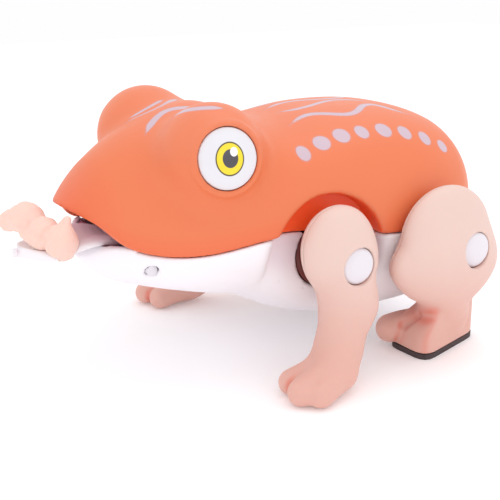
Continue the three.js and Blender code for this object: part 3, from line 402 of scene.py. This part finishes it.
def key(x, y, z):
    y0, z0 = WINDING_ARBOR
    dy, dz = y - y0, np.abs(z - z0)
    loop = np.hypot(dy / 1.25, dz - 7.4) - 4.3
    eye = 1.7 - np.hypot(dy / 1.25, dz - 7.6)
    neck = np.maximum(np.abs(dy) - 2.3, dz - 7)
    wing = smooth_max(smooth_min(loop, neck, 2), eye, 0.6)
    wing = smooth_max(wing, np.abs(x - KEY_X + 4) - 0.85, 0.5)
    barrel = smooth_max(round_x(y, z, WINDING_ARBOR, 3), np.abs(x - KEY_X - 1.5) - 6.5, 0.6)
    whole = smooth_min(wing, barrel, 1)
    return cut(whole, np.maximum(round_x(y, z, WINDING_ARBOR, 1.55), KEY_X - 1 - x), 0.2)


# ---- from a distance field to a mesh ---------------------------------------------------------------
CORNERS = [(i, j, k) for i in (0, 1) for j in (0, 1) for k in (0, 1)]
CELL_EDGES = [(a, b) for a in CORNERS for b in CORNERS if a < b and sum(p != q for p, q in zip(a, b)) == 1]


def shifted(values, corner):
    """The grid's values at one corner of every cell."""
    return values[tuple(slice(c, n - 1 + c) for c, n in zip(corner, values.shape))]


def slope_of(field, p, step):
    """Gradient of a field at points p, by central differences."""
    slope = np.zeros_like(p)
    for k in range(3):
        ahead, behind = p.copy(), p.copy()
        ahead[:, k] += step
        behind[:, k] -= step
        slope[:, k] = (field(*ahead.T) - field(*behind.T)) / (2 * step)
    return slope


def skin_of(field, low, high, cell):
    """Closed quad mesh on the surface where the field is zero: (points, quads)."""
    axes = [np.arange(a, b + cell, cell) for a, b in zip(low, high)]
    values = field(*np.meshgrid(*axes, indexing="ij"))
    inside = values < 0
    count = sum(shifted(inside, c).astype(int) for c in CORNERS)
    active = (count > 0) & (count < 8)
    number = np.full(active.shape, -1)
    number[active] = np.arange(active.sum())
    at = np.argwhere(active)
    place = np.zeros(at.shape)
    hits = np.zeros(len(at))
    for a, b in CELL_EDGES:
        fa = values[tuple((at + a).T)]
        fb = values[tuple((at + b).T)]
        crossed = (fa < 0) != (fb < 0)
        t = np.where(crossed, fa / np.where(crossed, fa - fb, 1), 0)
        point = np.array(a) + t[:, None] * (np.array(b) - np.array(a))
        place += np.where(crossed[:, None], point, 0)
        hits += crossed
    points = np.array(low) + cell * (at + place / hits[:, None])
    quads = []
    for axis in range(3):
        u, v = np.eye(3, dtype=int)[(axis + 1) % 3], np.eye(3, dtype=int)[(axis + 2) % 3]
        here = [slice(1, n - 1) for n in inside.shape]
        here[axis] = slice(0, inside.shape[axis] - 1)
        ahead = list(here)
        ahead[axis] = slice(1, inside.shape[axis])
        first, second = inside[tuple(here)], inside[tuple(ahead)]
        start = np.argwhere(first != second) + np.array([0 if k == axis else 1 for k in range(3)])
        ring = [number[tuple((start + shift).T)] for shift in (0 * u, -u, -u - v, -v)]
        ring = np.stack(ring, axis=1)
        outward = inside[tuple(start.T)]
        ring[~outward] = ring[~outward][:, ::-1]
        quads.append(ring)
    quads = np.concatenate(quads)
    for _ in range(3):          # settle the points on the surface
        slope = slope_of(field, points, 0.04)
        steep = np.maximum((slope ** 2).sum(1), 0.05)
        move = -field(*points.T)[:, None] * slope / steep[:, None]
        length = np.linalg.norm(move, axis=1, keepdims=True)
        points = points + 0.8 * move * np.minimum(1, 0.3 * cell / np.maximum(length, 1e-9))
    return points, quads


def rounded(rows, radius, steps=4):
    """Profile rows with every inner corner eased over "radius"."""
    rows = [np.array(r, float) for r in rows]
    out = [rows[0]]
    for before, corner, after in zip(rows, rows[1:], rows[2:]):
        a, b = before - corner, after - corner
        reach = min(radius, 0.45 * np.linalg.norm(a), 0.45 * np.linalg.norm(b))
        p, q = corner + a / np.linalg.norm(a) * reach, corner + b / np.linalg.norm(b) * reach
        for i in range(steps + 1):
            t = i / steps
            out.append((1 - t) ** 2 * p + 2 * t * (1 - t) * corner + t ** 2 * q)
    out.append(rows[-1])
    return out


def turned(rows, centre, axis, radius=0.3, around=72):
    """Revolves profile rows (radius, distance along the axis) about an axis through centre."""
    axis = np.array(axis, float) / np.linalg.norm(axis)
    helper = np.array([0, 0, 1.0]) if abs(axis[2]) < 0.8 else np.array([1.0, 0, 0])
    u = np.cross(helper, axis)
    u /= np.linalg.norm(u)
    v = np.cross(axis, u)
    rows = rounded(rows, radius)
    closed_start, closed_end = rows[0][0] < 1e-6, rows[-1][0] < 1e-6
    points, faces = [], []
    angles = 2 * np.pi * np.arange(around) / around
    spokes = np.cos(angles)[:, None] * u + np.sin(angles)[:, None] * v
    body = rows[1 if closed_start else 0:len(rows) - 1 if closed_end else len(rows)]
    for r, t in body:
        points.append(np.array(centre) + t * axis + r * spokes)
    points = np.concatenate(points)
    for j in range(len(body) - 1):
        for i in range(around):
            n = (i + 1) % around
            faces.append((j * around + i, j * around + n, (j + 1) * around + n, (j + 1) * around + i))
    last = (len(body) - 1) * around
    ends = [(closed_start, rows[0], 0, False), (closed_end, rows[-1], last, True)]
    for closed, row, first, outward in ends:
        if closed:
            points = np.vstack([points, np.array(centre) + row[1] * axis])
            tip = len(points) - 1
            for i in range(around):
                n = (i + 1) % around
                pair = (first + i, first + n) if outward else (first + n, first + i)
                faces.append((*pair, tip))
    if not closed_start and not closed_end:      # a ring: the profile's ends join
        for i in range(around):
            n = (i + 1) % around
            faces.append((last + i, last + n, n, i))
    return points, faces


def mirrored(points, faces):
    return np.array(points) * [-1, 1, 1], [tuple(f)[::-1] for f in faces]


def make_piece(name, shape, body, material, nodes, attributes=None):
    """A shown piece in the row frame. attributes: name -> function of the layout's points."""
    points, faces = shape
    points = np.array(points)
    placed = (points + [0, CENTRE_SHIFT_Y, 0]) * MM
    mesh = bpy.data.meshes.new(name)
    mesh.from_pydata(placed.tolist(), [], [tuple(int(i) for i in f) for f in faces])
    mesh.validate()
    mesh.shade_smooth()
    for key_name, values in (attributes or {}).items():
        layer = mesh.attributes.new(key_name, "FLOAT", "POINT")
        layer.data.foreach_set("value", np.asarray(values, np.float32))
    mesh.materials.append(material)
    piece = bpy.data.objects.new(name, mesh)
    bpy.context.scene.collection.objects.link(piece)
    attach(piece, body)
    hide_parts(*nodes)
    return piece


# ---- paint -----------------------------------------------------------------------------------------
# Lavender spots down each side of the back: (y, x, half length along Y, half width).
SPOTS = [(-9, 29.5, 2.4, 3.1), (-1, 28, 3.0, 3.1), (7, 27.6, 3.0, 3.2), (15, 27.8, 2.5, 3.0),
         (23.8, 28, 3.0, 3.2), (32, 29, 2.6, 3.0), (40, 30, 2.5, 2.9), (47.6, 30.5, 2.4, 2.5)]
# Stripes: (x, y) points, the half width in the middle, and the side of the frog that has it.
STRIPES = [([(9.5, -54), (7, -51.2), (4.8, -48), (3.4, -43.5), (6, -38.5), (11, -32)], 1.3, "both"),
           ([(10.6, -50.4), (9.3, -46.5), (9.2, -43.2), (10.8, -37.2)], 0.8, "right"),
           ([(15, -47.5), (20, -46.5), (25.5, -43.5), (29.1, -37)], 1.2, "left"),
           ([(17.5, -7), (14.5, -1.5), (13.5, 3), (15.5, 8.5), (18.5, 17), (16, 22.5), (12.2, 27.5),
             (11.5, 32), (15, 36), (19, 44)], 1.25, "both"),
           ([(3.5, -3), (6, 3), (6, 9), (3.5, 16), (2, 22), (3, 28), (7, 34)], 1.1, "both")]
UNPAINTED = 9.0          # millimetres to the paint, where there is none near
PAINT_ABOVE_SEAM = 8


def on_back(x, y):
    """Points of the back above plan positions."""
    p = np.stack([np.array(x, float), np.array(y, float), np.full(len(x), 75.0)], axis=1)
    for _ in range(40):
        above = back_skin(p[:, 0], p[:, 1], p[:, 2] + 0.1)
        below = back_skin(p[:, 0], p[:, 1], p[:, 2] - 0.1)
        slope = (above - below) / 0.2
        p[:, 2] -= np.clip(back_skin(*p.T) / np.maximum(slope, 0.2), -3, 3)
    return p


def paint_distance(points):
    """Signed distance to the nearest painted edge, in millimetres: below 0 inside the paint."""
    x, y, z = points.T
    ax = np.abs(x)
    best = np.full(len(points), UNPAINTED)
    centres = on_back([spot[1] for spot in SPOTS], [spot[0] for spot in SPOTS])
    for (_, _, half_y, half_x), centre in zip(SPOTS, centres):
        across = np.hypot(ax - centre[0], z - centre[2])
        share = np.hypot((y - centre[1]) / half_y, across / half_x)
        best = np.minimum(best, (share - 1) * min(half_x, half_y))
    for rows, half_width, side in STRIPES:
        knots = np.array(rows, float)
        t = np.concatenate([[0], np.cumsum(np.linalg.norm(np.diff(knots, axis=0), axis=1))])
        fine = np.linspace(0, t[-1], 48)
        path = on_back(spline(list(zip(t, knots[:, 0])))(fine), spline(list(zip(t, knots[:, 1])))(fine))
        taper = half_width * np.clip(np.sin(np.pi * np.clip(fine / t[-1], 0.02, 0.98)) * 1.9, 0.12, 1)
        across = {"both": ax, "left": x, "right": -x}[side]
        gaps = np.sqrt((across[:, None] - path[None, :, 0]) ** 2 + (y[:, None] - path[None, :, 1]) ** 2
                       + (z[:, None] - path[None, :, 2]) ** 2)
        best = np.minimum(best, (gaps - taper[None, :]).min(1))
    return np.where(z > seam_at(y) + PAINT_ABOVE_SEAM, best, UNPAINTED)


def crease(field, points, reach=5.0):
    """0 on open skin, towards 1 in creases and hollows; the materials paint shade by it."""
    slope = slope_of(field, points, 0.3)
    outward = slope / np.maximum(np.linalg.norm(slope, axis=1, keepdims=True), 1e-6)
    ahead = points + outward * reach
    return np.clip(1 - field(*ahead.T) / reach, 0, 1)


# ---- materials ---------------------------------------------------------------------------------------
class Shader:
    """A small builder for node materials."""
    def __init__(self, name):
        self.material = bpy.data.materials.new(name)
        self.material.use_nodes = True
        self.tree = self.material.node_tree
        self.tree.nodes.clear()
        self.surface = self.node("ShaderNodeBsdfPrincipled")
        out = self.node("ShaderNodeOutputMaterial")
        self.link(self.surface.outputs[0], out.inputs[0])
        self.place = self.node("ShaderNodeTexCoord").outputs["Object"]

    def node(self, kind, **settings):
        made = self.tree.nodes.new(kind)
        for key_name, value in settings.items():
            setattr(made, key_name, value)
        return made

    def link(self, source, target):
        self.tree.links.new(source, target)

    def put(self, target, value):
        if isinstance(value, bpy.types.NodeSocket):
            self.link(value, target)
        else:
            target.default_value = value

    def math(self, operation, a, b=0.0, c=0.0, clamp=False):
        made = self.node("ShaderNodeMath", operation=operation, use_clamp=clamp)
        for socket, value in zip(made.inputs, (a, b, c)):
            self.put(socket, value)
        return made.outputs[0]

    def ramp(self, value, low, high, to_low=0.0, to_high=1.0):
        made = self.node("ShaderNodeMapRange", interpolation_type="SMOOTHSTEP")
        for socket, v in zip(made.inputs, (value, low, high, to_low, to_high)):
            self.put(socket, v)
        return made.outputs[0]

    def mix(self, share, a, b):
        made = self.node("ShaderNodeMix", data_type="RGBA")
        self.put(made.inputs[0], share)
        self.put(made.inputs[6], a)
        self.put(made.inputs[7], b)
        return made.outputs[2]

    def noise(self, size_mm, detail=2.0, stretch=None):
        """Noise about size_mm across, centred on 0.5."""
        made = self.node("ShaderNodeTexNoise")
        made.inputs["Scale"].default_value = 1 / (size_mm * MM)
        made.inputs["Detail"].default_value = detail
        source = self.place
        if stretch:
            scaled = self.node("ShaderNodeMapping")
            scaled.inputs["Scale"].default_value = stretch
            self.link(source, scaled.inputs["Vector"])
            source = scaled.outputs[0]
        self.link(source, made.inputs["Vector"])
        return made.outputs["Fac"]

    def attribute(self, name):
        return self.node("ShaderNodeAttribute", attribute_name=name).outputs["Fac"]

    def axis(self, letter):
        parts = self.node("ShaderNodeSeparateXYZ")
        self.link(self.place, parts.inputs[0])
        return parts.outputs["XYZ".index(letter)]

    def finish(self, colour, rough, bumps=(), **plain):
        self.put(self.surface.inputs["Base Color"], colour)
        self.put(self.surface.inputs["Roughness"], rough)
        normal = None
        for height, depth_mm in bumps:
            bump = self.node("ShaderNodeBump")
            bump.inputs["Distance"].default_value = depth_mm * MM
            bump.inputs["Strength"].default_value = 1.0
            self.link(height, bump.inputs["Height"])
            if normal is not None:
                self.link(normal, bump.inputs["Normal"])
            normal = bump.outputs[0]
        if normal is not None:
            self.link(normal, self.surface.inputs["Normal"])
        for socket, value in plain.items():
            self.surface.inputs[socket.replace("_", " ")].default_value = value
        return self.material


def srgb(r, g, b):
    """8-bit display colour to the renderer's linear colour."""
    def lin(v):
        v /= 255
        return v / 12.92 if v <= 0.04045 else ((v + 0.055) / 1.055) ** 2.4
    return (lin(r), lin(g), lin(b), 1)


def tinted(colour, factor):
    return (*[min(c * factor, 1) for c in colour[:3]], 1)


def moulded(name, colour, rough, shade=None, mottle=0.035, **plain):
    """Satin moulded plastic: slight colour drift, fine moulded grain, and painted shade that darkens it
    where creased.
    """
    s = Shader(name)
    drift = s.noise(14, 3)
    base = s.mix(drift, tinted(colour, 1 - mottle), tinted(colour, 1 + mottle))
    # Painted shade: the colour turns towards the shade colour in creases and hollows.
    if shade:
        painted_shade = s.ramp(s.attribute("crease"), 0.12, 0.85, 0, 0.85)
        base = s.mix(painted_shade, base, shade)
    fine = s.noise(0.5, 2)
    flow = s.noise(5, 2)
    roughness = s.math("MULTIPLY_ADD", s.noise(3, 3), 0.12, rough - 0.06)
    return s.finish(base, roughness, [(fine, 0.012), (flow, 0.05)], **plain)


ORANGE = srgb(232, 124, 80)
# Painted shade of the orange back.
ORANGE_SHADE = srgb(236, 92, 50)
# Painted highlight on the top of the back.
ORANGE_HIGHLIGHT = srgb(243, 165, 142)
LAVENDER = srgb(207, 184, 196)
# Painted bounce light on the walls inside the front legs' arches.
ARCH_BOUNCE_LIGHT = srgb(255, 92, 40)
PAINT_HALO = srgb(206, 150, 152)


def orange_material():
    s = Shader("orange_paint")
    drift = s.noise(22, 3)
    base = s.mix(drift, tinted(ORANGE, 0.975), tinted(ORANGE, 1.025))
    # Painted shade: deeper orange along the lower edge above the seam, towards the snout's tip and in
    # creases.
    painted_shade = s.math("MAXIMUM", s.attribute("edge"), s.attribute("snout"))
    painted_shade = s.math("MAXIMUM", painted_shade, s.ramp(s.attribute("crease"), 0.15, 0.8, 0, 0.8), clamp=True)
    base = s.mix(s.math("MULTIPLY", painted_shade, 0.75), base, ORANGE_SHADE)
    # Painted bounce light: the walls inside the arches turn bright red-orange.
    base = s.mix(s.attribute("recess"), base, ARCH_BOUNCE_LIGHT)
    # Painted highlight: the top of the back turns paler.
    base = s.mix(s.ramp(s.attribute("top"), 0, 1, 0, 0.12), base, ORANGE_HIGHLIGHT)
    paint = s.attribute("paint")
    ragged = s.math("MULTIPLY_ADD", s.noise(0.9, 2), 0.16, -0.08)
    paint = s.math("ADD", paint, ragged)
    halo = s.ramp(paint, 0.05, 0.5, 0.45, 0)
    base = s.mix(halo, base, PAINT_HALO)
    cover = s.ramp(paint, -0.22, 0.06, 1, 0)
    lavender = s.mix(s.noise(4, 2), tinted(LAVENDER, 0.96), tinted(LAVENDER, 1.03))
    base = s.mix(cover, base, lavender)
    fine = s.noise(0.5, 2)
    flow = s.noise(6, 2)
    rough = s.math("MULTIPLY_ADD", s.noise(3, 3), 0.12, 0.36)
    rough = s.math("ADD", rough, s.math("MULTIPLY", cover, -0.05))
    return s.finish(base, rough, [(fine, 0.012), (flow, 0.05), (cover, 0.05)], Specular_IOR_Level=0.45)


IRIS_RIM_R, IRIS_R, PUPIL_R, GLINT_R = 5.05, 4.6, 2.75, 1.35
EYE_PRINT_NARROWING, EYE_PRINT_SOFT = 1.12, 0.09


def eye_material():
    s = Shader("eye_print")
    u, v = s.attribute("eye_u"), s.attribute("eye_v")

    def disc(cu, cv, radius):
        du = s.math("MULTIPLY", s.math("SUBTRACT", u, cu), EYE_PRINT_NARROWING)
        dv = s.math("SUBTRACT", v, cv)
        r = s.math("SQRT", s.math("ADD", s.math("MULTIPLY", du, du), s.math("MULTIPLY", dv, dv)))
        return s.ramp(r, radius - EYE_PRINT_SOFT, radius + EYE_PRINT_SOFT, 1, 0)

    white = s.mix(s.noise(6, 2), srgb(226, 226, 231), srgb(231, 230, 235))
    ink = srgb(70, 66, 74)
    base = s.mix(disc(0, 0, IRIS_RIM_R), white, srgb(84, 72, 30))
    yellow = s.mix(s.noise(2.5, 3), srgb(250, 216, 6), srgb(244, 226, 40))
    base = s.mix(disc(0, 0, IRIS_R), base, yellow)
    base = s.mix(disc(0.1, 0.1, PUPIL_R), base, ink)
    base = s.mix(disc(1.3, 2.0, GLINT_R), base, srgb(252, 252, 252))
    rough = s.math("MULTIPLY_ADD", s.noise(2, 2), 0.06, 0.2)
    return s.finish(base, rough, [(s.noise(4, 2), 0.02)], Coat_Weight=0.5, Coat_Roughness=0.12)


def metal(name, colour, rough, stretch):
    s = Shader(name)
    brushed = s.noise(1.2, 3, stretch)
    base = s.mix(brushed, tinted(colour, 0.85), tinted(colour, 1.1))
    roughness = s.math("MULTIPLY_ADD", brushed, 0.2, rough - 0.1)
    return s.finish(base, roughness, [(brushed, 0.006)], Metallic=1.0)


def rubber():
    s = Shader("sole_rubber")
    worn = s.noise(2.5, 4)
    base = s.mix(worn, srgb(52, 40, 42), srgb(84, 66, 68))
    rough = s.math("MULTIPLY_ADD", worn, 0.15, 0.62)
    return s.finish(base, rough, [(s.noise(0.4, 3), 0.03)])


# Leg colours: the top tone; the foot tone, which the painted shade fades to near the floor; the painted
# shade in creases.
LEG_TOP = srgb(231, 203, 193)
LEG_FOOT = srgb(225, 174, 160)
LEG_SHADE = srgb(226, 120, 100)
LEG_FADE_LOW, LEG_FADE_HIGH = 0.006, 0.046       # metres above the floor, over which the painted shade fades
SOFT_SCATTER = {"Subsurface_Radius": (0.006, 0.003, 0.002), "Subsurface_Scale": 0.4}


def leg_material():
    """Moulded skin tone, with painted shade that deepens it towards the foot and in the creases."""
    s = Shader("leg_plastic")
    # Painted shade: darker towards the floor.
    base = s.mix(s.ramp(s.axis("Z"), LEG_FADE_LOW, LEG_FADE_HIGH), LEG_FOOT, LEG_TOP)
    # Painted shade in the creases.
    painted_shade = s.ramp(s.attribute("crease"), 0.12, 0.85, 0, 0.85)
    base = s.mix(painted_shade, base, LEG_SHADE)
    base = s.mix(s.math("MULTIPLY", s.noise(14, 3), 0.12), base, LEG_FOOT)
    rough = s.math("MULTIPLY_ADD", s.noise(3, 3), 0.12, 0.44)
    return s.finish(base, rough, [(s.noise(0.5, 2), 0.012), (s.noise(5, 2), 0.05)],
                    Subsurface_Weight=0.12, **SOFT_SCATTER)


ORANGE_SKIN = orange_material()
# The fourth colour given to moulded() is the painted shade in creases.
WHITE_SKIN = moulded("white_plastic", srgb(246, 243, 247), 0.4, srgb(232, 218, 225), 0.012)
LEG_SKIN = leg_material()
CAP_SKIN = moulded("cap_plastic", srgb(231, 226, 232), 0.35, None, 0.01)
TONGUE_SKIN = moulded("tongue_plastic", srgb(243, 238, 241), 0.38, srgb(225, 195, 202), 0.02)
BAIT_SKIN = moulded("bait_rubber", srgb(248, 208, 194), 0.55, srgb(232, 160, 146), 0.03,
                    Subsurface_Weight=0.2, **SOFT_SCATTER)
MOUTH_SKIN = moulded("mouth_plastic", srgb(236, 178, 192), 0.5, None, 0.05)
HUB_SKIN = moulded("hub_plastic", srgb(96, 30, 24), 0.42, None, 0.08)
NYLON = moulded("gear_nylon", srgb(232, 226, 208), 0.45, None, 0.03)
CASE_SKIN = moulded("case_plastic", srgb(66, 68, 74), 0.5, None, 0.05)
STEEL = metal("bright_steel", (0.62, 0.63, 0.65, 1), 0.3, (0.2, 1, 1))
SPRING_STEEL = metal("blued_steel", (0.16, 0.18, 0.26, 1), 0.35, (1, 0.2, 0.2))
EYE_SKIN = eye_material()
SOLE_SKIN = rubber()

SLOT_MATERIALS = {
    "orange_shell": ORANGE_SKIN, "white_shell": WHITE_SKIN, "mouth_mauve": MOUTH_SKIN,
    "tongue_white": TONGUE_SKIN, "bait_pink": BAIT_SKIN, "eye_white": EYE_SKIN, "leg_skin": LEG_SKIN,
    "cap_white": CAP_SKIN, "sole_rubber": SOLE_SKIN, "hub_brown": HUB_SKIN, "steel": STEEL,
    "spring_steel": SPRING_STEEL, "gear_nylon": NYLON, "case_plastic": CASE_SKIN,
}
for part in frame["record"]["subparts"]:
    node = frame["nodes"][part["node"]]
    node.data.materials.clear()
    node.data.materials.append(SLOT_MATERIALS[part["material_slot"]])


# ---- pieces ------------------------------------------------------------------------------------------
SHELL_CELL = 0.75
SMALL_CELL = 0.5
FINE_CELL = 0.4
EDGE_BAND, EDGE_DEPTH = 7, 0.55          # painted shade, deeper orange above the seam: its height and its share
# Painted shade: deeper orange towards the snout's tip, from this Y over this run, at this share.
SNOUT_RED_Y, SNOUT_RED_RUN, SNOUT_DEPTH = -66, 14, 0.7
# Painted highlight: the back pales above this height, over this run.
TOP_HIGHLIGHT_Z, TOP_HIGHLIGHT_RUN = 70, 14
# Painted bounce light: its share on the walls inside the arches.
ARCH_SHARE = 0.85

shell = skin_of(upper_shell, (-43, -82, 40), (43, 80, 92), SHELL_CELL)
on_shell = shell[0]
# Masks of the back's painted shade: along the lower edge, towards the snout and in creases.
above_seam = on_shell[:, 2] - seam_at(on_shell[:, 1])
edge_shade = np.clip(1 - above_seam / EDGE_BAND, 0, 1) * EDGE_DEPTH
snout_shade = np.clip((SNOUT_RED_Y - on_shell[:, 1]) / SNOUT_RED_RUN, 0, 1) * SNOUT_DEPTH
crease_shade = crease(back_skin, on_shell)
# Mask of the painted highlight on the top of the back.
top_highlight = np.clip((on_shell[:, 2] - TOP_HIGHLIGHT_Z) / TOP_HIGHLIGHT_RUN, 0, 1)
# Mask of the painted bounce light on the walls inside the arches.
in_arch = (arch_room(*on_shell.T) < 0.5) & (back_skin(*on_shell.T) < -0.6)
make_piece("upper_shell_skin", shell, "frog_body", ORANGE_SKIN, ["upper_shell"],
           {"paint": paint_distance(on_shell), "edge": edge_shade, "snout": snout_shade,
            "crease": crease_shade, "top": top_highlight, "recess": in_arch * ARCH_SHARE})

# The crease attribute masks the painted shade of the white shell.
shell = skin_of(lower_shell, (-43, -77, 8), (43, 80, 51), SHELL_CELL)
make_piece("lower_shell_skin", shell, "frog_body", WHITE_SKIN, ["lower_shell"],
           {"crease": crease(belly_skin, shell[0])})

# The crease attribute masks the painted shade of the tongue.
blade = skin_of(tongue, (-13, -95, 37), (13, -56, 52), SMALL_CELL)
make_piece("tongue_blade", blade, "tongue_works", TONGUE_SKIN, ["tongue"],
           {"crease": crease(tongue, blade[0], 3)})
roof = skin_of(palate, (-30, -80, 44), (30, -56, 64), SMALL_CELL)
make_piece("palate_lining", roof, "frog_body", MOUTH_SKIN, ["palate"])
tray = skin_of(mouth_floor, (-28, -72, 36), (28, -60, 50), SMALL_CELL)
make_piece("mouth_floor_lining", tray, "frog_body", MOUTH_SKIN, ["mouth_floor"])
# The crease attribute masks the painted shade of the bait.
grub = skin_of(bait, (-15, -98, 42), (17, -75, 60.5), FINE_CELL)
make_piece("bait_grub", grub, "tongue_works", BAIT_SKIN, ["bait"],
           {"crease": crease(bait, grub[0], 2.5)})
wings = skin_of(key, (-56, -50, 33), (-40, -30, 60), FINE_CELL)
make_piece("key_wings", wings, "winding_works", STEEL, ["key"])


def both_sides(name, shape, body, material, node, attributes=None):
    for side, form in (("left", shape), ("right", mirrored(*shape))):
        make_piece(f"{name}_{side}", form, body, material, [f"{node}_{side}"], attributes)


LEGS = [("front_leg", front_leg, "front_legs", FRONT_SPLIT_X, FRONT_LID_Z, FRONT_AXLE, FRONT_CAP_X,
         (33, -34, -1), (67, 12, 61)),
        ("hind_leg", hind_leg, "hind_legs", HIND_SPLIT_X, HIND_LID_Z, HIND_AXLE, HIND_CAP_X,
         (24, 10, 1), (57, 64, 62))]
for name, form, body, split, lid_z, axle, cap_x, low, high in LEGS:
    for part in ("outer", "inner"):
        half = leg_half(form, split, lid_z, axle, cap_x, part == "inner")
        shape = skin_of(half, low, high, SMALL_CELL)
        # The crease attribute masks the painted shade of the legs.
        both_sides(f"{name}_{part}_skin", shape, body, LEG_SKIN, f"{name}_{part}",
                   {"crease": crease(form, shape[0], 6)})
    cap = turned([(0, cap_x - 1.5), (CAP_R, cap_x - 1.5), (CAP_R, cap_x - 0.1), (CAP_R - 0.7, cap_x + 0.45),
                  (CAP_R * 0.5, cap_x + 0.8), (0, cap_x + 0.9)], (0, *axle), (1, 0, 0))
    both_sides(f"{name}_cap_disc", cap, body, CAP_SKIN, name.replace("leg", "cap"))

helper = np.cross([0, 0, 1.0], EYE_AXIS)
helper /= np.linalg.norm(helper)
upward = np.cross(EYE_AXIS, helper)
eye = turned([(0, 10.8), (EYE_DISC_R, 10.8), (EYE_DISC_R, 13.3), (EYE_DISC_R * 0.85, 14.0),
              (EYE_DISC_R * 0.55, 14.75), (EYE_DISC_R * 0.25, 15.1), (0, 15.2)],
             EYE_CENTRE, EYE_AXIS, radius=0.5, around=96)
offset = eye[0] - EYE_CENTRE
both_sides("eye_dome", eye, "frog_body", EYE_SKIN, "eye_disc",
           {"eye_u": offset @ helper, "eye_v": offset @ upward})

front_hub = turned([(HUB_BORE_R, 28), (HUB_R, 28), (HUB_R, 32.4), (HUB_R - 1.2, 33), (8, 33), (7.2, 32.2),
                    (HUB_BORE_R, 32.2)], (0, *FRONT_AXLE), (1, 0, 0))
both_sides("front_hub", front_hub, "frog_body", HUB_SKIN, "front_bearing")
hind_hub = turned([(HUB_BORE_R, 30), (HIND_HUB_R, 30), (HIND_HUB_R, 39.5), (HUB_BORE_R, 39.5)],
                  (0, *HIND_AXLE), (1, 0, 0))
both_sides("hind_hub", hind_hub, "frog_body", HUB_SKIN, "hind_bearing")

# ---- stage, light and camera -------------------------------------------------------------------------
FLOOR_HALF = 1.2
FLOOR_GLOW = 0.14
STUDIO_WHITE = (1, 0.99, 1, 1)
floor_mesh = bpy.data.meshes.new("floor")
floor_corners = [(sx * FLOOR_HALF, sy * FLOOR_HALF, 0) for sx, sy in ((-1, -1), (1, -1), (1, 1), (-1, 1))]
floor_mesh.from_pydata(floor_corners, [], [(0, 1, 2, 3)])
floor = bpy.data.objects.new("floor", floor_mesh)
bpy.context.scene.collection.objects.link(floor)
paper = Shader("floor_paper")
paper_tone = paper.mix(paper.noise(60, 2), (0.92, 0.91, 0.92, 1), (0.94, 0.93, 0.94, 1))
floor_mesh.materials.append(paper.finish(paper_tone, 0.9, Emission_Color=STUDIO_WHITE,
                                         Emission_Strength=FLOOR_GLOW))

world = bpy.data.worlds.new("studio")
bpy.context.scene.world = world
world.use_nodes = True
sky = world.node_tree.nodes["Background"]
sky.inputs["Color"].default_value = STUDIO_WHITE
sky.inputs["Strength"].default_value = 1.0


def soft_light(name, position, size, power):
    """A square lamp turned towards the frog."""
    data = bpy.data.lights.new(name, "AREA")
    data.size = size
    data.energy = power
    lamp = bpy.data.objects.new(name, data)
    lamp.location = position
    lamp.rotation_euler = (Vector((0, 0, 0.03)) - Vector(position)).to_track_quat("-Z", "Y").to_euler()
    bpy.context.scene.collection.objects.link(lamp)


soft_light("top", (0.05, 0.15, 0.75), 0.6, 0.9)
soft_light("side", (0.75, 0.15, 0.4), 0.5, 0.25)
soft_light("front", (0.25, -0.7, 0.35), 0.5, 0.2)

AZIMUTH, ELEVATION, DISTANCE = 58.87, 16.64, 0.3481
AIM = Vector((0, -0.00153, 0.03331))
LENS_MM, SENSOR_MM = 72, 36
azimuth, elevation = math.radians(AZIMUTH), math.radians(ELEVATION)
back = Vector((math.sin(azimuth) * math.cos(elevation), -math.cos(azimuth) * math.cos(elevation),
               math.sin(elevation)))
lens = bpy.data.cameras.new("camera")
lens.lens = LENS_MM
lens.sensor_width = SENSOR_MM
lens.clip_start = 0.01
camera = bpy.data.objects.new("camera", lens)
camera.location = AIM + back * DISTANCE
camera.rotation_euler = (-back).to_track_quat("-Z", "Y").to_euler()
bpy.context.scene.collection.objects.link(camera)
bpy.context.scene.camera = camera
bpy.context.scene.view_settings.view_transform = "Standard"
